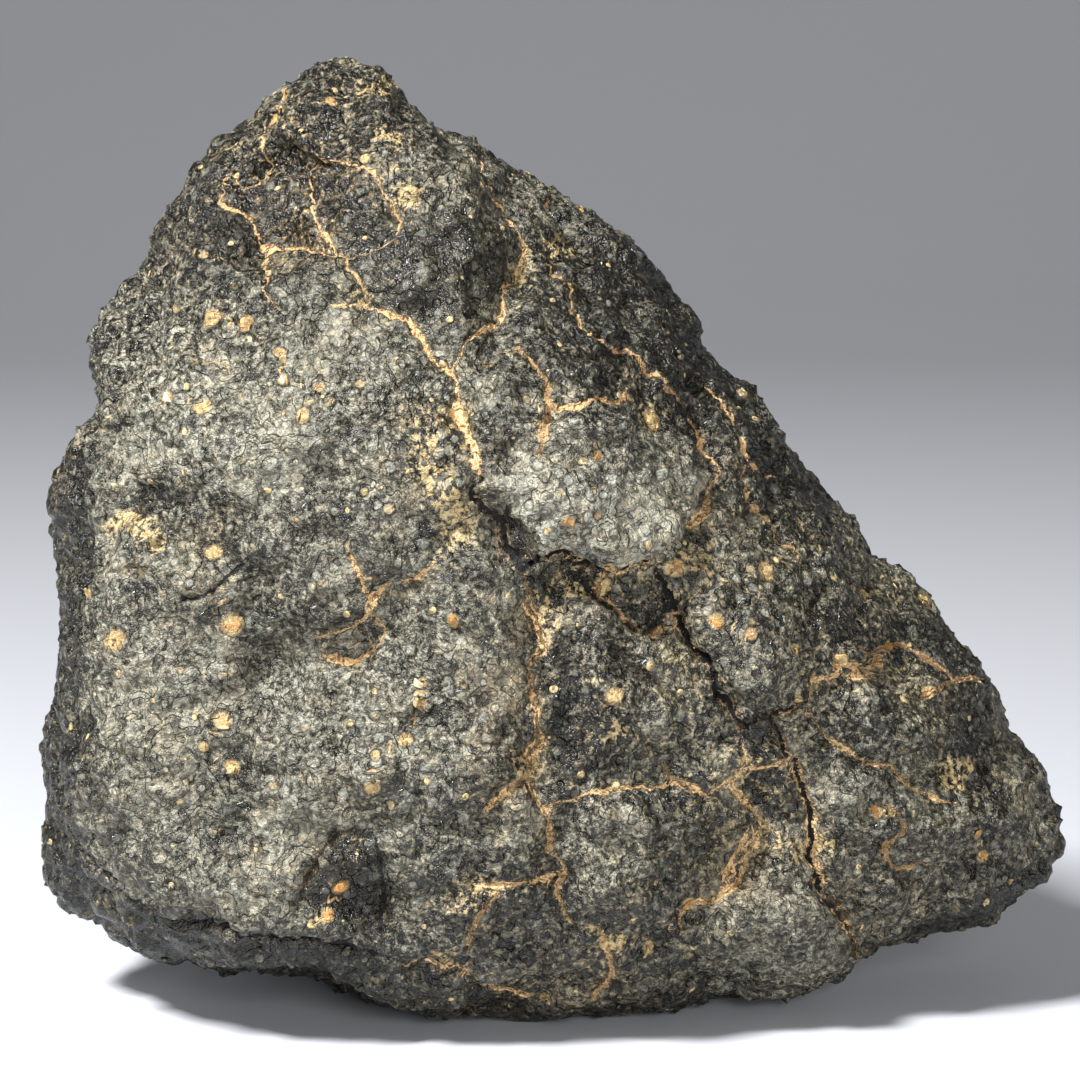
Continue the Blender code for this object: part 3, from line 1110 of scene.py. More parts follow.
def stone_tone():
    """The stone's colour from black crust to pale dust, by its dust, painted shade included, and its speckle.
    """
    inputs = {"Dust": 0.5, "Speckle": 0.5, "Contrast": 1.0}
    tree, taken, given = effect("stone_tone", inputs, ["Tone"], "Color")
    swing = sums(tree, "MULTIPLY_ADD", taken["Speckle"], 0.92, -0.46)
    level = add(tree, taken["Dust"], times(tree, swing, taken["Contrast"]))
    ramp = put(tree, "ShaderNodeValToRGB", {0: level})
    stops = ramp.color_ramp.elements
    stops[0].position = 0.02
    stops[0].color = COLOURS["black"]
    stops[1].position = 0.98
    stops[1].color = COLOURS["dust_pale"]
    for position, name in ((0.30, "charcoal"), (0.58, "dust_dark")):
        stop = stops.new(position)
        stop.color = COLOURS[name]
    tree.links.new(ramp.outputs[0], given["Color"])
    tree.links.new(level, given["Tone"])
    return tree


def rust_bloom():
    """Crumbly rust: a mask that breaks up into specks along the stone's own speckle."""
    tree, taken, given = effect("rust_bloom", {"Speckle": 0.5, "Fine": 0.5, "Amount": 0.3}, ["Rust"])
    grain = times(tree, add(tree, taken["Speckle"], taken["Fine"]), 0.5)
    over = add(tree, grain, taken["Amount"], -0.98)
    tree.links.new(eased(tree, over, -0.12, 0.20), given["Rust"])
    return tree


def used(tree, group, **inputs):
    """A shared effect placed in a material. Underscores in names stand for spaces."""
    node = put(tree, "ShaderNodeGroup", node_tree=group)
    for name, value in inputs.items():
        socket = node.inputs[name.replace("_", " ").title()]
        if isinstance(value, bpy.types.NodeSocket):
            tree.links.new(value, socket)
        else:
            socket.default_value = value
    return node.outputs


GRAIN = speckled_grain()
RINGS = chondrule_rings()
TONE = stone_tone()
BLOOM = rust_bloom()


# Materials


def material(name):
    """A new material: its node tree and its Principled BSDF."""
    made = bpy.data.materials.new(name)
    made.use_nodes = True
    shader = made.node_tree.nodes["Principled BSDF"]
    return made, made.node_tree, shader


def raised(tree, shader, height, strength=1.0):
    """Gives the surface relief from a height in millimetres."""
    inputs = {"Height": height, "Distance": MM, "Strength": strength}
    bump = put(tree, "ShaderNodeBump", inputs)
    tree.links.new(bump.outputs[0], shader.inputs["Normal"])


def stone_skin_material():
    """Dark crust with pale dust, small chondrules, rust stains, rusty veins and open cracks, with painted
    shade in the gaps, creases, scarps, valleys and hollows.
    """
    made, tree, shader = material("weathered_crust")
    place = place_in_mm(tree)
    grain = used(tree, GRAIN, place=place, grain_size=0.85)
    speckle = grain["Speckle"]
    fine = cloudy(tree, place, 0.55, 1.6, 0.6)
    ridge = sums(tree, "ABSOLUTE", sums(tree, "SUBTRACT", fine, 0.5))

    # Flakes: noise cut into steps, whose edges show as small scarps with painted shade along them.
    layers = times(tree, cloudy(tree, place, 7.0, 2.5, 0.6), 12.0)
    within = sums(tree, "FRACT", layers)
    layer = add(tree, sums(tree, "FLOOR", layers), sums(tree, "GREATER_THAN", within, 0.47))
    flake = add(tree, sums(tree, "FLOOR", layers), eased(tree, within, 0.40, 0.56))
    scarp_shade = eased(tree, sums(tree, "ABSOLUTE", sums(tree, "SUBTRACT", within, 0.47)), 0.07, 0.01)

    ringed = painted(tree, "ringed")
    rings = used(tree, RINGS, place=place, spacing=1.75, share=0.7, radius=0.37)
    banded = sums(tree, "FRACT", times(tree, layer, 0.618))
    dust = add(tree, painted(tree, "dust"), sums(tree, "MULTIPLY_ADD", banded, 0.30, -0.15))
    calm = painted(tree, "calm")
    contrast = sums(tree, "MULTIPLY_ADD", calm, -0.60, 0.95)
    contrast = add(tree, contrast, times(tree, painted(tree, "knobbly"), 0.50))
    # Paler where the fine noise is high, painted highlights on the ridges that it raises, and darker where it
    # is low.
    dust = add(tree, dust, times(tree, sums(tree, "SUBTRACT", fine, 0.5), contrast, 0.35))
    tone = used(tree, TONE, dust=dust, speckle=speckle, contrast=contrast)
    colour = tone["Color"]
    warmed = blend(tree, 1.0, colour, (0.90, 0.68, 0.46, 1))
    warmed.node.blend_type = "MULTIPLY"
    colour = blend(tree, painted(tree, "warm"), colour, warmed)
    # Painted shade: creases, scarps and valleys drawn black, with the chondrules' real dark rims.
    shade_and_rim_lines = sums(tree, "MAXIMUM", times(tree, grain["Crease"], 0.75), times(tree, scarp_shade, 0.60))
    valley_shade = times(tree, eased(tree, ridge, 0.050, 0.010), contrast, 0.80)
    shade_and_rim_lines = sums(tree, "MAXIMUM", shade_and_rim_lines, valley_shade)
    rim = times(tree, rings["Rim"], ringed)
    shade_and_rim_lines = sums(tree, "MAXIMUM", shade_and_rim_lines, times(tree, rim, 0.90))
    colour = blend(tree, shade_and_rim_lines, colour, COLOURS["black"])
    spot = blend(tree, eased(tree, rings["Tint"], 0.8, 0.9), COLOURS["dust_pale"], COLOURS["tan"])
    shown = times(tree, rings["Disc"], ringed, 0.45)
    colour = blend(tree, shown, colour, spot)

    amount = painted(tree, "rust")
    rust = used(tree, BLOOM, speckle=speckle, fine=fine, amount=amount)["Rust"]
    sandy = eased(tree, add(tree, fine, times(tree, amount, 0.5)), 0.45, 0.75)
    rusty = blend(tree, sandy, COLOURS["rust"], COLOURS["sand"])
    colour = blend(tree, times(tree, rust, 0.8), colour, rusty)

    # Large chondrules: stained stone under each dome, and a dark rim round it.
    from_disc = length(tree, painted(tree, "chondrule_offset", "Vector"))
    from_disc = add(tree, from_disc, sums(tree, "MULTIPLY_ADD", fine, 0.7, -0.35))
    halo = times(tree, eased(tree, from_disc, 1.25, 0.75), 0.8)
    colour = blend(tree, halo, colour, rusty)
    moat = eased(tree, sums(tree, "ABSOLUTE", sums(tree, "SUBTRACT", from_disc, 1.32)), 0.22, 0.05)
    colour = blend(tree, times(tree, moat, 0.35), colour, COLOURS["black"])

    # Cracks. The offset to the nearest one is exact close by, and "near" rules it out elsewhere.
    wobble = put(tree, "ShaderNodeCombineXYZ", {0: grain["Across"], 2: grain["Up"]}).outputs[0]
    offset = painted(tree, "crack_offset", "Vector")
    side = put(tree, "ShaderNodeVectorMath", {0: offset}, operation="NORMALIZE").outputs[0]
    shift = put(tree, "ShaderNodeVectorMath", {0: wobble, 1: side}, operation="DOT_PRODUCT")
    apart = add(tree, length(tree, offset), times(tree, shift.outputs["Value"], 1.6))
    far = sums(tree, "SUBTRACT", painted(tree, "crack_near"), 0.9)
    from_crack = sums(tree, "MAXIMUM", sums(tree, "ABSOLUTE", apart), far)
    half_width = painted(tree, "crack_width")
    reach = times(tree, half_width, painted(tree, "uneven"))
    share = sums(tree, "DIVIDE", from_crack, reach)
    fill = painted(tree, "crack_fill")
    stain = times(tree, eased(tree, share, 5.0, 1.0), fill, 0.6, speckle, fine)
    colour = blend(tree, stain, colour, COLOURS["tan"])
    edge = eased(tree, sums(tree, "ABSOLUTE", sums(tree, "SUBTRACT", share, 2.3)), 0.5, 0.1)
    colour = blend(tree, times(tree, edge, 0.45), colour, COLOURS["brown_black"])
    ragged = add(tree, share, sums(tree, "MULTIPLY_ADD", fine, 2.8, -1.4))
    vein = times(tree, eased(tree, ragged, 2.0, 1.5), eased(tree, fill, 0.1, 0.5))
    bright = times(tree, eased(tree, fine, 0.36, 0.46), eased(tree, share, -0.10, 0.30))
    bright = times(tree, bright, eased(tree, fill, 0.3, 1.0, 0.5, 1.0))
    vein_colour = blend(tree, bright, COLOURS["vein_dark"], COLOURS["vein"])
    colour = blend(tree, vein, colour, vein_colour)
    # Open gaps painted near black: painted shade inside the cracks.
    open_share = painted(tree, "crack_open")
    gap_reach = times(tree, open_share, sums(tree, "MULTIPLY_ADD", half_width, 0.9, 0.17))
    gap = eased(tree, sums(tree, "SUBTRACT", from_crack, gap_reach), 0.05, -0.05)
    gap = times(tree, gap, eased(tree, open_share, 0.2, 0.6))
    colour = blend(tree, gap, colour, COLOURS["gap"])
    tree.links.new(colour, shader.inputs["Base Color"])

    # Gloss: bare crust shines a little, dust and rust don't.
    matt = sums(tree, "MAXIMUM", tone["Tone"], sums(tree, "MAXIMUM", rust, vein), clamp=True)
    roughness = sums(tree, "MULTIPLY_ADD", matt, 0.48, 0.20)
    roughness = add(tree, roughness, times(tree, gap, 0.3))
    tree.links.new(roughness, shader.inputs["Roughness"])
    shader.inputs["Specular IOR Level"].default_value = 0.5

    # Relief in millimetres.
    rough = sums(tree, "MULTIPLY_ADD", painted(tree, "knobbly"), 0.30, 0.54)
    rough = times(tree, rough, sums(tree, "MULTIPLY_ADD", calm, -0.6, 1.0))
    height = add(
        tree,
        times(tree, grain["Height"], rough),
        times(tree, flake, 0.44),
        times(tree, ridge, 0.45),
        times(tree, eased(tree, share, 2.6, 0.8), -0.14),
        times(tree, gap, -0.8),
        times(tree, moat, -0.08),
    )
    raised(tree, shader, height)
    return made


def grain_material(name, colours, dust_cover, roughness, dirt=0.75):
    """Small grains and chondrules: two colours by each grain's own tint, under some dust."""
    made, tree, shader = material(name)
    place = place_in_mm(tree)
    grain = used(tree, GRAIN, place=place, grain_size=0.6)
    tint = painted(tree, "tint")
    colour = blend(tree, tint, COLOURS[colours[0]], COLOURS[colours[1]])
    tone = used(tree, TONE, dust=dust_cover, speckle=grain["Speckle"])["Color"]
    shade = eased(tree, grain["Speckle"], 0.25, 0.75, dirt, 0.05)
    colour = blend(tree, shade, colour, tone)
    # Painted shade in the grains' creases.
    colour = blend(tree, times(tree, grain["Crease"], 0.3), colour, COLOURS["brown_black"])
    tree.links.new(colour, shader.inputs["Base Color"])
    shader.inputs["Roughness"].default_value = roughness
    raised(tree, shader, times(tree, grain["Height"], 0.12))
    return made


def table_material():
    """The plain pale table."""
    made, tree, shader = material("pale_table")
    shader.inputs["Base Color"].default_value = COLOURS["table"]
    shader.inputs["Roughness"].default_value = 0.5
    return made


# The camera's view


def view_axes():
    """The camera's forward and up directions. Its right is +X."""
    turn = math.radians(VIEW_ELEVATION)
    forward = Vector((0, math.cos(turn), -math.sin(turn)))
    up = Vector((0, math.sin(turn), math.cos(turn)))
    return forward, up


def camera_place():
    return Vector(VIEW_CENTRE) - view_axes()[0] * VIEW_DISTANCE


def cast(tree, across, up, behind=False):
    """Where the view's point (across, up) falls on the stone, and the normal there, or None."""
    target = Vector(VIEW_CENTRE) + Vector((1, 0, 0)) * across + view_axes()[1] * up
    start = camera_place()
    if behind:
        target = Vector(VIEW_CENTRE) + Vector((-across, 0, up))
        start = target + Vector((0, VIEW_DISTANCE, 0))
    hit, normal, _, _ = tree.ray_cast(start, (target - start).normalized())
    return (hit, normal) if hit else None


def seen_at(points):
    """Where each point is in the camera's view, as (across, up)."""
    forward, up = view_axes()
    offset = points - np.array(camera_place())
    scale = VIEW_DISTANCE / (offset @ np.array(forward))
    return offset[:, 0] * scale, (offset @ np.array(up)) * scale


# The stone's skin


def linked(name, mesh):
    made = bpy.data.objects.new(name, mesh)
    bpy.context.scene.collection.objects.link(made)
    return made


def flattened(obj):
    """Replaces an object's mesh and modifiers with the plain mesh that they make."""
    graph = bpy.context.evaluated_depsgraph_get()
    mesh = bpy.data.meshes.new_from_object(
        obj.evaluated_get(graph), preserve_all_data_layers=True, depsgraph=graph
    )
    obj.modifiers.clear()
    obj.data = mesh
    mesh.name = obj.name
    return obj


def fine_copy(cad):
    """A closed copy of the CAD stone in small even faces, with its flat facets worn away."""
    mesh = bpy.data.meshes.new("stone_skin")
    merged = bmesh.new()
    merged.from_mesh(cad.data)
    bmesh.ops.remove_doubles(merged, verts=merged.verts, dist=0.02 * MM)
    merged.to_mesh(mesh)
    merged.free()
    skin = linked("stone_skin", mesh)
    even = skin.modifiers.new("even_faces", "REMESH")
    even.mode = "VOXEL"
    even.voxel_size = FACE_SIZE * MM
    wear = skin.modifiers.new("wear", "SMOOTH")
    wear.factor = 0.5
    wear.iterations = WEAR_ROUNDS
    mesh = flattened(skin).data
    bpy.data.objects.remove(skin)
    return mesh


def points_of(mesh):
    """The mesh's points in millimetres."""
    flat = np.empty(len(mesh.vertices) * 3, np.float32)
    mesh.vertices.foreach_get("co", flat)
    return flat.reshape(-1, 3).astype(float) / MM


def normals_of(mesh):
    flat = np.empty(len(mesh.vertices) * 3, np.float32)
    mesh.vertices.foreach_get("normal", flat)
    return flat.reshape(-1, 3).astype(float)


def paint(mesh, name, values):
    """Stores a number or vector on each of the mesh's points."""
    values = np.asarray(values, np.float32)
    vector = values.ndim == 2
    kind = "FLOAT_VECTOR" if vector else "FLOAT"
    attribute = mesh.attributes.new(name, kind, "POINT")
    attribute.data.foreach_set("vector" if vector else "value", values.ravel())


def surface_tree(mesh):
    """The mesh as a search tree for casting, in millimetres."""
    points = [Vector(p) for p in points_of(mesh)]
    return BVHTree.FromPolygons(points, [tuple(face.vertices) for face in mesh.polygons])


def bend_through(points):
    """A smooth line through the points, closely spaced."""
    known = np.array([points[0], *points, points[-1]], float)
    line = []
    for before, start, end, after in zip(known, known[1:], known[2:], known[3:]):
        count = max(2, int(math.hypot(*(end - start)) / TRACE_STEP))
        for t in np.arange(count) / count:
            line.append(
                0.5
                * (
                    2 * start
                    + (end - before) * t
                    + (2 * before - 5 * start + 4 * end - after) * t**2
                    + (3 * start - before - 3 * end + after) * t**3
                )
            )
    line.append(known[-1])
    return np.array(line)


def jagged(line, seed):
    """Small sideways steps along a line, as a crack makes round the grains."""
    random = np.random.default_rng(seed)
    shift = np.zeros_like(line)
    for spacing, reach in ((14, 0.22), (5, 0.10)):
        knots = random.normal(0, reach, (len(line) // spacing + 2, 2))
        at = np.arange(len(line)) / spacing
        for axis in (0, 1):
            shift[:, axis] += np.interp(at, np.arange(len(knots)), knots[:, axis])
    return line + shift


def cast_cracks(tree):
    """Each crack's points on the stone, with how open, filled and wide it is there."""
    cast_points = {}
    for seed, (name, crack) in enumerate({**CRACKS, **BACK_CRACKS}.items()):
        open_share, fill, width, points = crack
        line = jagged(bend_through(points), seed)
        hits = [cast(tree, across, up, name in BACK_CRACKS) for across, up in line]
        found = [hit for hit in hits if hit]
        fade = np.clip(6 * np.minimum(np.linspace(0, 1, len(found)), np.linspace(1, 0, len(found))), 0.45, 1)
        cast_points[name] = [
            (hit[0], hit[1], open_share, fill, width * f) for hit, f in zip(found, fade)
        ]
    return cast_points


def mark_cracks(mesh, cracks):
    """Stores on each point the offset from the nearest crack, its distance and its kind."""
    marks = [mark for line in cracks.values() for mark in line]
    found = kdtree.KDTree(len(marks))
    for i, mark in enumerate(marks):
        found.insert(mark[0], i)
    found.balance()
    points = points_of(mesh)
    offsets = np.empty_like(points)
    near = np.empty(len(points))
    kinds = np.empty((len(points), 3))
    for i, point in enumerate(points):
        place, mark, distance = found.find(point)
        offsets[i] = point - np.array(place)
        near[i] = distance
        kinds[i] = marks[mark][2:]
    paint(mesh, "crack_offset", np.clip(offsets, -6, 6))
    paint(mesh, "crack_near", np.minimum(near, 8))
    paint(mesh, "crack_open", kinds[:, 0])
    paint(mesh, "crack_fill", kinds[:, 1])
    paint(mesh, "crack_width", kinds[:, 2])


def mark_chondrules(mesh, chondrules):
    """Stores on each point the offset from the nearest large chondrule, in its radii."""
    found = kdtree.KDTree(len(chondrules))
    for i, chondrule in enumerate(chondrules):
        found.insert(chondrule[0], i)
    found.balance()
    points = points_of(mesh)
    offsets = np.empty_like(points)
    for i, point in enumerate(points):
        place, chondrule, _ = found.find(point)
        offsets[i] = (point - np.array(place)) / chondrules[chondrule][2]
    paint(mesh, "chondrule_offset", np.clip(offsets, -9, 9))


def patches(across, up, places):
    """The summed strength of the front's patches at places in the camera's view."""
    total = np.zeros(len(across))
    for x, y, half_width, half_height, strength in places:
        apart = ((across - x) / half_width) ** 2 + ((up - y) / half_height) ** 2
        total += strength * np.exp(-0.7 * apart**1.5)
    return total


def inside(across, up, corners):
    """How far each place lies inside an outline, negative outside it."""
    nearest = np.full(len(across), np.inf)
    within = np.zeros(len(across), bool)
    for (x0, y0), (x1, y1) in zip(corners, corners[1:] + corners[:1]):
        along_x = x1 - x0
        along_y = y1 - y0
        t = ((across - x0) * along_x + (up - y0) * along_y) / (along_x**2 + along_y**2)
        t = np.clip(t, 0, 1)
        apart = np.hypot(across - x0 - t * along_x, up - y0 - t * along_y)
        nearest = np.minimum(nearest, apart)
        crosses = (y0 > up) != (y1 > up)
        with np.errstate(divide="ignore", invalid="ignore"):
            crossing = x0 + (up - y0) / along_y * along_x
        within ^= crosses & (across < crossing)
    return np.where(within, nearest, -nearest)


def wandering(points, size, reach):
    """Noise to push places about by, so that patches get ragged edges."""
    shifts = [noise.noise_vector(Vector(point) / size) for point in points]
    return np.array(shifts)[:, [0, 2]] * reach


def mark_weathering(mesh):
    """Stores each point's dust with its painted shade, rust, knobs and rings, and how far its plate stands
    out.
    """
    points = points_of(mesh)
    normals = normals_of(mesh)
    front = np.clip(-normals[:, 1] * 2.5 + 0.3, 0, 1)
    across, up = seen_at(points)
    shift = wandering(points, 4.0, 1.6) + wandering(points, 1.4, 0.6)
    across = across + shift[:, 0]
    up = up + shift[:, 1]
    dust = DUST_LEVEL + patches(across, up, DUST_AND_SHADE)
    stand = np.zeros(len(points))
    calm = np.zeros(len(points))
    # Plates add dust; the undersides and the dark lip take it away, which is painted shade.
    for dust_and_shade_change, height, calmness, corners in PLATES.values():
        share = np.clip(inside(across, up, corners) / 0.9 + 0.5, 0, 1)
        dust += dust_and_shade_change * share
        stand += height * share * share * (3 - 2 * share)
        calm = np.maximum(calm, calmness * share)
    broad = np.array([noise.fractal(Vector(point) / 9.0, 0.8, 2.0, 4) for point in points])
    away = Vector((9, 4, 7))
    middle = [noise.fractal(Vector(point) / 2.6 + away, 0.8, 2.0, 3) for point in points]
    middle = np.array(middle)
    side = SIDE_DUST_LEVEL + 0.30 * broad
    dust = front * dust + (1 - front) * side + 0.12 * broad + 0.15 * middle
    paint(mesh, "dust", np.clip(dust, 0.02, 0.98))
    rust = front * np.minimum(patches(across, up, RUST), 0.44) + RUST_LEVEL + 0.10 * broad
    paint(mesh, "rust", rust)
    knobbly = front * patches(across, up, KNOBBLY) + (1 - front) * (0.25 + 0.25 * broad)
    paint(mesh, "knobbly", np.clip(knobbly, 0, 1))
    ringed = front * patches(across, up, RINGED) + RINGED_LEVEL + 0.3 * middle
    paint(mesh, "ringed", np.clip(ringed, 0, 1))
    paint(mesh, "calm", np.clip(np.maximum(front * calm, 0.35 + 0.8 * broad), 0, 1))
    warm = front * patches(across, up, WARM) + 0.25 + 0.4 * middle
    paint(mesh, "warm", np.clip(warm, 0, 1))
    paint(mesh, "uneven", np.clip(1.0 + 0.8 * middle, 0.55, 1.7))
    paint(mesh, "stand", front * stand)
    paint(mesh, "coarse", 0.42 + 0.58 * np.clip(-normals[:, 1] * 1.6, 0, 1))
    paint(mesh, "strata", front * np.clip(patches(across, up, STRATA), 0, 1))
    paint(mesh, "above_table", np.clip(points[:, 2] / 2.0, 0, 1))


# Geometry Nodes


def geometry_tree(name, sizes):
    """An empty Geometry Nodes tree with a named input for each size."""
    tree = bpy.data.node_groups.new(name, "GeometryNodeTree")
    face = tree.interface
    face.new_socket("Geometry", in_out="INPUT", socket_type="NodeSocketGeometry")
    for label in sizes:
        face.new_socket(label, in_out="INPUT", socket_type="NodeSocketFloat")
    face.new_socket("Geometry", in_out="OUTPUT", socket_type="NodeSocketGeometry")
    taken = tree.nodes.new("NodeGroupInput")
    given = tree.nodes.new("NodeGroupOutput")
    return tree, taken.outputs, given.inputs


def grown(name, mesh, tree, sizes):
    """The plain mesh object that a tree makes from a starting mesh."""
    obj = linked(name, mesh)
    modifier = obj.modifiers.new(name, "NODES")
    modifier.node_group = tree
    for item in tree.interface.items_tree:
        if item.name in sizes:
            modifier[item.identifier] = sizes[item.name]
    return flattened(obj)


RELIEF = {
    "Lump Height": 1.3,
    "Ledge Height": 0.60,
    "Strata Height": 1.5,
    "Bead Height": 0.16,
    "Knob Height": 1.0,
    "Pit Depth": 0.9,
    "Groove Depth": 0.28,
    "Crack Depth": 1.2,
}


def weathered_relief():
    """Moves the skin in and out: lumps, beads, knobs, pits, grooves along veins and open cracks."""
    tree, taken, given = geometry_tree("weathered_relief", RELIEF)
    place = place_in_mm(tree)
    lumps = add(tree, cloudy(tree, place, 5.5, 5.0, 0.66), -0.5)
    layers = times(tree, cloudy(tree, place, 11.0, 4.0, 0.5), 10.0)
    step = eased(tree, sums(tree, "FRACT", layers), 0.40, 0.62)
    ledges = add(tree, sums(tree, "FLOOR", layers), step, -5.0)
    flat_place = put(tree, "ShaderNodeVectorMath", {0: place, 1: (0.35, 0.35, 1.6)})
    flat_place.operation = "MULTIPLY"
    strata = add(tree, cloudy(tree, flat_place.outputs[0], 3.5, 3.0, 0.6), -0.5)
    folds = sums(tree, "ABSOLUTE", add(tree, cloudy(tree, place, 4.5, 4.0, 0.6), -0.5))
    knobbly = painted(tree, "knobbly")
    beads = cells(tree, shifting(tree, place, 2.0, 0.4), 1.9, "SMOOTH_F1").outputs["Distance"]
    knobs = cells(tree, shifting(tree, place, 4.0, 0.9), 3.4, "SMOOTH_F1").outputs["Distance"]
    bead_rise = add(tree, eased(tree, beads, 0.1, 0.8, 1.0, 0.0), -0.5)
    knob_rise = add(tree, eased(tree, knobs, 0.1, 0.8, 1.0, 0.0), -0.5)
    pit = cells(tree, shifting(tree, place, 3.0, 1.2), 5.5)
    pit_random = put(tree, "FunctionNodeSeparateColor", {0: pit.outputs["Color"]}).outputs[0]
    pit_here = sums(tree, "LESS_THAN", pit_random, sums(tree, "MULTIPLY_ADD", knobbly, 0.35, 0.2))
    pit_drop = times(tree, eased(tree, pit.outputs["Distance"], 0.34, 0.06), pit_here)
    near = painted(tree, "crack_near")
    width = painted(tree, "crack_width")
    open_share = painted(tree, "crack_open")
    groove = eased(tree, near, times(tree, width, 3.2), times(tree, width, 0.4))
    shoulder = eased(tree, near, 3.2, 0.0)
    gap = times(tree, eased(tree, near, times(tree, width, 2.0), 0.1), open_share)
    height = add(
        tree,
        times(tree, lumps, taken["Lump Height"], 2.0, painted(tree, "coarse")),
        times(tree, eased(tree, folds, 0.0, 0.12, -0.35, 0.0), taken["Lump Height"]),
        times(tree, ledges, taken["Ledge Height"]),
        times(tree, strata, painted(tree, "strata"), taken["Strata Height"], 2.0),
        painted(tree, "stand"),
        times(tree, bead_rise, taken["Bead Height"]),
        times(tree, knob_rise, taken["Knob Height"], knobbly),
        times(tree, pit_drop, taken["Pit Depth"], -1.0),
        times(tree, groove, taken["Groove Depth"], -1.0),
        times(tree, shoulder, -0.18),
        times(tree, gap, taken["Crack Depth"], -1.0),
    )
    held = times(tree, height, painted(tree, "above_table"), MM)
    normal = put(tree, "GeometryNodeInputNormal").outputs[0]
    offset = stretched(tree, normal, held)
    inputs = {"Geometry": taken["Geometry"], "Offset": offset}
    set_place = put(tree, "GeometryNodeSetPosition", inputs)
    shaded = put(tree, "GeometryNodeSetShadeSmooth", {"Geometry": set_place.outputs[0]})
    tree.links.new(shaded.outputs[0], given["Geometry"])
    return tree


def scattered_grains(look, detail):
    """Half-sunk round grains scattered over a surface."""
    names = ["Spacing", "Smallest", "Largest", "Flatness", "Seed", "Share"]
    tree, taken, given = geometry_tree("scattered_grains_" + look.name, names)
    spots = put(
        tree,
        "GeometryNodeDistributePointsOnFaces",
        {"Mesh": taken["Geometry"], "Distance Min": taken["Spacing"], "Density Max": 4.0e6},
        distribute_method="POISSON",
    )
    tree.links.new(taken["Seed"], spots.inputs["Seed"])
    place = place_in_mm(tree)
    clustered = eased(tree, cloudy(tree, place, 6.0, 2.0), 0.35, 0.62, 0.25, 1.0)
    clear = eased(tree, painted(tree, "above_table"), 0.1, 0.4)
    tree.links.new(times(tree, clustered, clear, taken["Share"]), spots.inputs["Density Factor"])
    grain = put(tree, "GeometryNodeMeshIcoSphere", {"Radius": 1.0, "Subdivisions": detail})
    radius = put(
        tree,
        "FunctionNodeRandomValue",
        {2: taken["Smallest"], 3: taken["Largest"], "Seed": 5},
        data_type="FLOAT",
    ).outputs[1]
    skewed = put(
        tree,
        "FunctionNodeRandomValue",
        {0: (0.75, 0.75, 0.8), 1: (1.2, 1.2, 1.15), "Seed": 8},
        data_type="FLOAT_VECTOR",
    ).outputs[0]
    flat = put(tree, "ShaderNodeCombineXYZ", {0: 1.0, 1: 1.0, 2: taken["Flatness"]}).outputs[0]
    shape = put(tree, "ShaderNodeVectorMath", {0: skewed, 1: flat}, operation="MULTIPLY")
    sized = stretched(tree, shape.outputs[0], radius)
    inputs = {
        "Points": spots.outputs["Points"],
        "Instance": grain.outputs["Mesh"],
        "Rotation": spots.outputs["Rotation"],
        "Scale": sized,
    }
    grains = put(tree, "GeometryNodeInstanceOnPoints", inputs)
    tint = put(tree, "FunctionNodeRandomValue", {"Seed": 11}, data_type="FLOAT").outputs[1]
    named = put(
        tree,
        "GeometryNodeStoreNamedAttribute",
        {"Geometry": grains.outputs[0], "Name": "tint", "Value": tint},
        data_type="FLOAT",
        domain="INSTANCE",
    )
    whole = put(tree, "GeometryNodeRealizeInstances", {"Geometry": named.outputs[0]})
    finish_pieces(tree, whole.outputs[0], look, given, 0.00022)
    return tree


def finish_pieces(tree, whole, look, given, roughness):
    """Roughens realised pieces a little, shades them smooth and gives them their material."""
    place = place_in_mm(tree)
    clouds = put(tree, "ShaderNodeTexNoise", {"Vector": place, "Scale": 0.9, "Detail": 1.0})
    centred = moved(tree, clouds.outputs["Color"], (-0.5, -0.5, -0.5))
    offset = stretched(tree, centred, roughness)
    uneven = put(tree, "GeometryNodeSetPosition", {"Geometry": whole, "Offset": offset})
    smooth = put(tree, "GeometryNodeSetShadeSmooth", {"Geometry": uneven.outputs[0]})
    dressed = put(tree, "GeometryNodeSetMaterial", {"Geometry": smooth.outputs[0]})
    dressed.inputs["Material"].default_value = look
    tree.links.new(dressed.outputs[0], given["Geometry"])


def set_chondrules(look):
    """A low round dome at each point, with the point's own radius and facing."""
    tree, taken, given = geometry_tree("set_chondrules_" + look.name, ["Flatness"])
    dome = put(tree, "GeometryNodeMeshIcoSphere", {"Radius": 1.0, "Subdivisions": 3})
    turned = put(
        tree, "FunctionNodeAlignRotationToVector", {"Vector": painted(tree, "facing", "Vector")}
    )
    radius = painted(tree, "radius")
    flat = put(tree, "ShaderNodeCombineXYZ", {0: 1.0, 1: 1.0, 2: taken["Flatness"]}).outputs[0]
    inputs = {
        "Points": taken["Geometry"],
        "Instance": dome.outputs["Mesh"],
        "Rotation": turned.outputs[0],
        "Scale": stretched(tree, flat, radius),
    }
    domes = put(tree, "GeometryNodeInstanceOnPoints", inputs)
    whole = put(tree, "GeometryNodeRealizeInstances", {"Geometry": domes.outputs[0]})
    finish_pieces(tree, whole.outputs[0], look, given, 0.0016)
    return tree


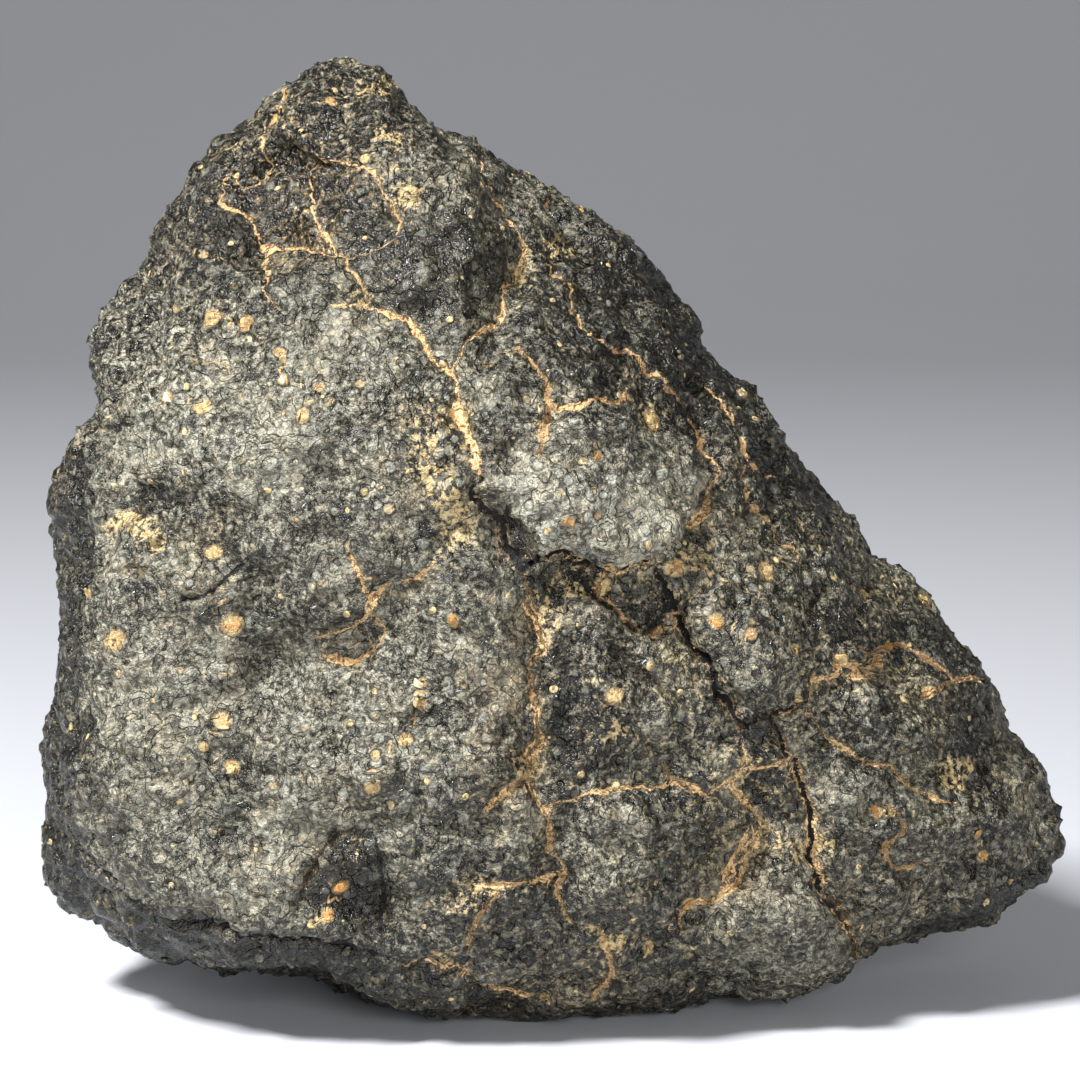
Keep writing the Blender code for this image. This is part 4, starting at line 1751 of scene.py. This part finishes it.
def rust_crumbs(look):
    """Coarse crumbs of rust on the points along the veins."""
    tree, taken, given = geometry_tree("rust_crumbs", ["Smallest", "Largest"])
    crumb = put(tree, "GeometryNodeMeshIcoSphere", {"Radius": 1.0, "Subdivisions": 1})
    share = put(
        tree,
        "FunctionNodeRandomValue",
        {2: taken["Smallest"], 3: taken["Largest"], "Seed": 2},
        data_type="FLOAT",
    ).outputs[1]
    turn = put(
        tree,
        "FunctionNodeRandomValue",
        {0: (0.0, 0.0, 0.0), 1: (6.0, 6.0, 6.0), "Seed": 4},
        data_type="FLOAT_VECTOR",
    ).outputs[0]
    inputs = {
        "Points": taken["Geometry"],
        "Instance": crumb.outputs["Mesh"],
        "Rotation": turn,
        "Scale": times(tree, share, painted(tree, "radius")),
    }
    crumbs = put(tree, "GeometryNodeInstanceOnPoints", inputs)
    whole = put(tree, "GeometryNodeRealizeInstances", {"Geometry": crumbs.outputs[0]})
    finish_pieces(tree, whole.outputs[0], look, given, 0.0001)
    return tree


# Pieces


def spots_mesh(name, spots):
    """A mesh of loose points, each with its facing, radius and tint. Places are in millimetres."""
    mesh = bpy.data.meshes.new(name)
    mesh.from_pydata([Vector(spot[0]) * MM for spot in spots], [], [])
    paint(mesh, "facing", [list(spot[1]) for spot in spots])
    paint(mesh, "radius", [spot[2] * MM for spot in spots])
    paint(mesh, "tint", [spot[3] for spot in spots])
    return mesh


def place_chondrules(tree):
    """The large chondrules of the front as (place, normal, radius, tint, kind)."""
    placed = []
    random = np.random.default_rng(21)
    for across, up, radius, kind in LARGE_CHONDRULES:
        hit = cast(tree, across, up)
        if hit:
            placed.append((hit[0], hit[1], radius, random.random(), kind))
    for i in range(UNSEEN_CHONDRULES):
        toward = Vector(random.normal(0, 1, 3)).normalized()
        hit, normal, _, _ = tree.ray_cast(Vector(VIEW_CENTRE) + toward * VIEW_DISTANCE, -toward)
        if hit and normal.y > -0.15 and normal.z > -0.8:
            kind = ("orange", "tan", "tan", "pale")[i % 4]
            placed.append((hit, normal, random.uniform(0.4, 1.4), random.random(), kind))
    return placed


def crumb_spots(cracks, tree):
    """Points for rust crumbs, strewn along the filled cracks."""
    random = np.random.default_rng(5)
    spots = []
    for line in cracks.values():
        for place, normal, open_share, fill, width in line:
            if random.random() > 0.34 * fill:
                continue
            side = Vector(random.normal(0, 0.6, 3)).cross(normal) * width
            beside = tree.find_nearest(place + side)
            size = random.uniform(0.5, 1.0) * (0.05 + 0.30 * width)
            sunk = beside[0] - beside[1] * size * 0.35
            spots.append((sunk, beside[1], size, random.random()))
    return spots


def build_stone():
    """The skin, and the grains, chondrules and crumbs that lie in it."""
    smooth = fine_copy(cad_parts["stone"])
    smooth_tree = surface_tree(smooth)
    cracks = cast_cracks(smooth_tree)
    mark_cracks(smooth, cracks)
    chondrules = place_chondrules(smooth_tree)
    mark_chondrules(smooth, chondrules)
    mark_weathering(smooth)
    skin = grown("stone_skin", smooth, weathered_relief(), RELIEF)
    skin.data.materials.clear()
    skin.data.materials.append(stone_skin_material())
    skin_tree = surface_tree(skin.data)

    pieces = [skin]
    grey = grain_material("grey_grain", ("charcoal", "dust_dark"), 0.40, 0.5)
    sizes = {"Spacing": 0.0021, "Smallest": 0.00018, "Largest": 0.00042, "Flatness": 0.45}
    sizes.update({"Seed": 1, "Share": 0.35})
    pieces.append(grown("grey_grains", skin.data.copy(), scattered_grains(grey, 2), sizes))
    brown = grain_material("tan_grain", ("tan", "sand"), 0.50, 0.6)
    sizes = {"Spacing": 0.0048, "Smallest": 0.00018, "Largest": 0.00055, "Flatness": 0.25}
    sizes.update({"Seed": 2, "Share": 0.55})
    pieces.append(grown("tan_grains", skin.data.copy(), scattered_grains(brown, 2), sizes))

    for kind, partner in (("orange", "rust"), ("tan", "rust"), ("pale", "dust_pale")):
        look = grain_material(kind + "_chondrule", (kind, partner), 0.4, 0.6, 0.4)
        spots = []
        for place, _, radius, tint, its_kind in chondrules:
            if its_kind == kind:
                beside = skin_tree.find_nearest(place)
                spots.append((beside[0], beside[1], 0.75 * radius, tint * 0.6))
        mesh = spots_mesh(kind + "_spots", spots)
        tree = set_chondrules(look)
        pieces.append(grown(kind + "_chondrules", mesh, tree, {"Flatness": 0.13}))

    look = grain_material("rust_crumb", ("vein_dark", "vein"), 0.1, 0.8)
    mesh = spots_mesh("crumb_spots", crumb_spots(cracks, skin_tree))
    sizes = {"Smallest": 0.5, "Largest": 1.2}
    pieces.append(grown("rust_crumbs", mesh, rust_crumbs(look), sizes))

    for piece in pieces:
        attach(piece, "root")
    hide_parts("stone")


# The stage


def lay_table():
    """A table that sweeps up into a plain wall far behind the stone."""
    profile = [(-4.0, 0.0), (0.9, 0.0)]
    for i in range(1, 13):
        turn = math.radians(90 * i / 12)
        profile.append((0.9 + 1.1 * math.sin(turn), 1.1 * (1 - math.cos(turn))))
    profile.append((2.0, 4.0))
    corners = [(side * 4.0, y, z) for y, z in profile for side in (-1, 1)]
    faces = [(2 * i, 2 * i + 1, 2 * i + 3, 2 * i + 2) for i in range(len(profile) - 1)]
    mesh = bpy.data.meshes.new("table")
    mesh.from_pydata(corners, [], faces)
    mesh.shade_smooth()
    mesh.materials.append(table_material())
    linked("table", mesh)


def hang_light(name, place, aim, size, power):
    """A square soft light. Places are in metres."""
    light = bpy.data.lights.new(name, "AREA")
    light.size = size
    light.energy = power
    lamp = linked(name, light)
    lamp.location = place
    lamp.rotation_euler = (Vector(aim) - Vector(place)).to_track_quat("-Z", "Y").to_euler()


def light_studio():
    middle = (0, 0, 0.06)
    hang_light("key_light", (-0.36, -0.32, 0.62), middle, 0.12, 15.8)
    hang_light("fill_light", (0.20, -0.90, 0.30), middle, 0.30, 5.6)
    world = bpy.data.worlds.new("studio")
    world.use_nodes = True
    background = world.node_tree.nodes["Background"]
    background.inputs["Color"].default_value = (0.87, 0.87, 0.87, 1)
    background.inputs["Strength"].default_value = 0.32
    bpy.context.scene.world = world


def place_camera():
    camera = bpy.data.cameras.new("camera")
    camera.sensor_width = SENSOR
    camera.lens = SENSOR * VIEW_DISTANCE / VIEW_WIDTH
    camera.clip_start = 0.01
    camera.clip_end = 50.0
    holder = linked("camera", camera)
    holder.location = camera_place() * MM
    holder.rotation_euler = view_axes()[0].to_track_quat("-Z", "Y").to_euler()
    bpy.context.scene.camera = holder


def set_colour_view():
    """Plain colours with a little less light, as a camera would show them."""
    settings = bpy.context.scene.view_settings
    settings.view_transform = "Standard"
    settings.exposure = -0.2
    bpy.context.scene.cycles.max_bounces = 4
    bpy.context.scene.cycles.diffuse_bounces = 2


build_stone()
lay_table()
light_studio()
place_camera()
set_colour_view()
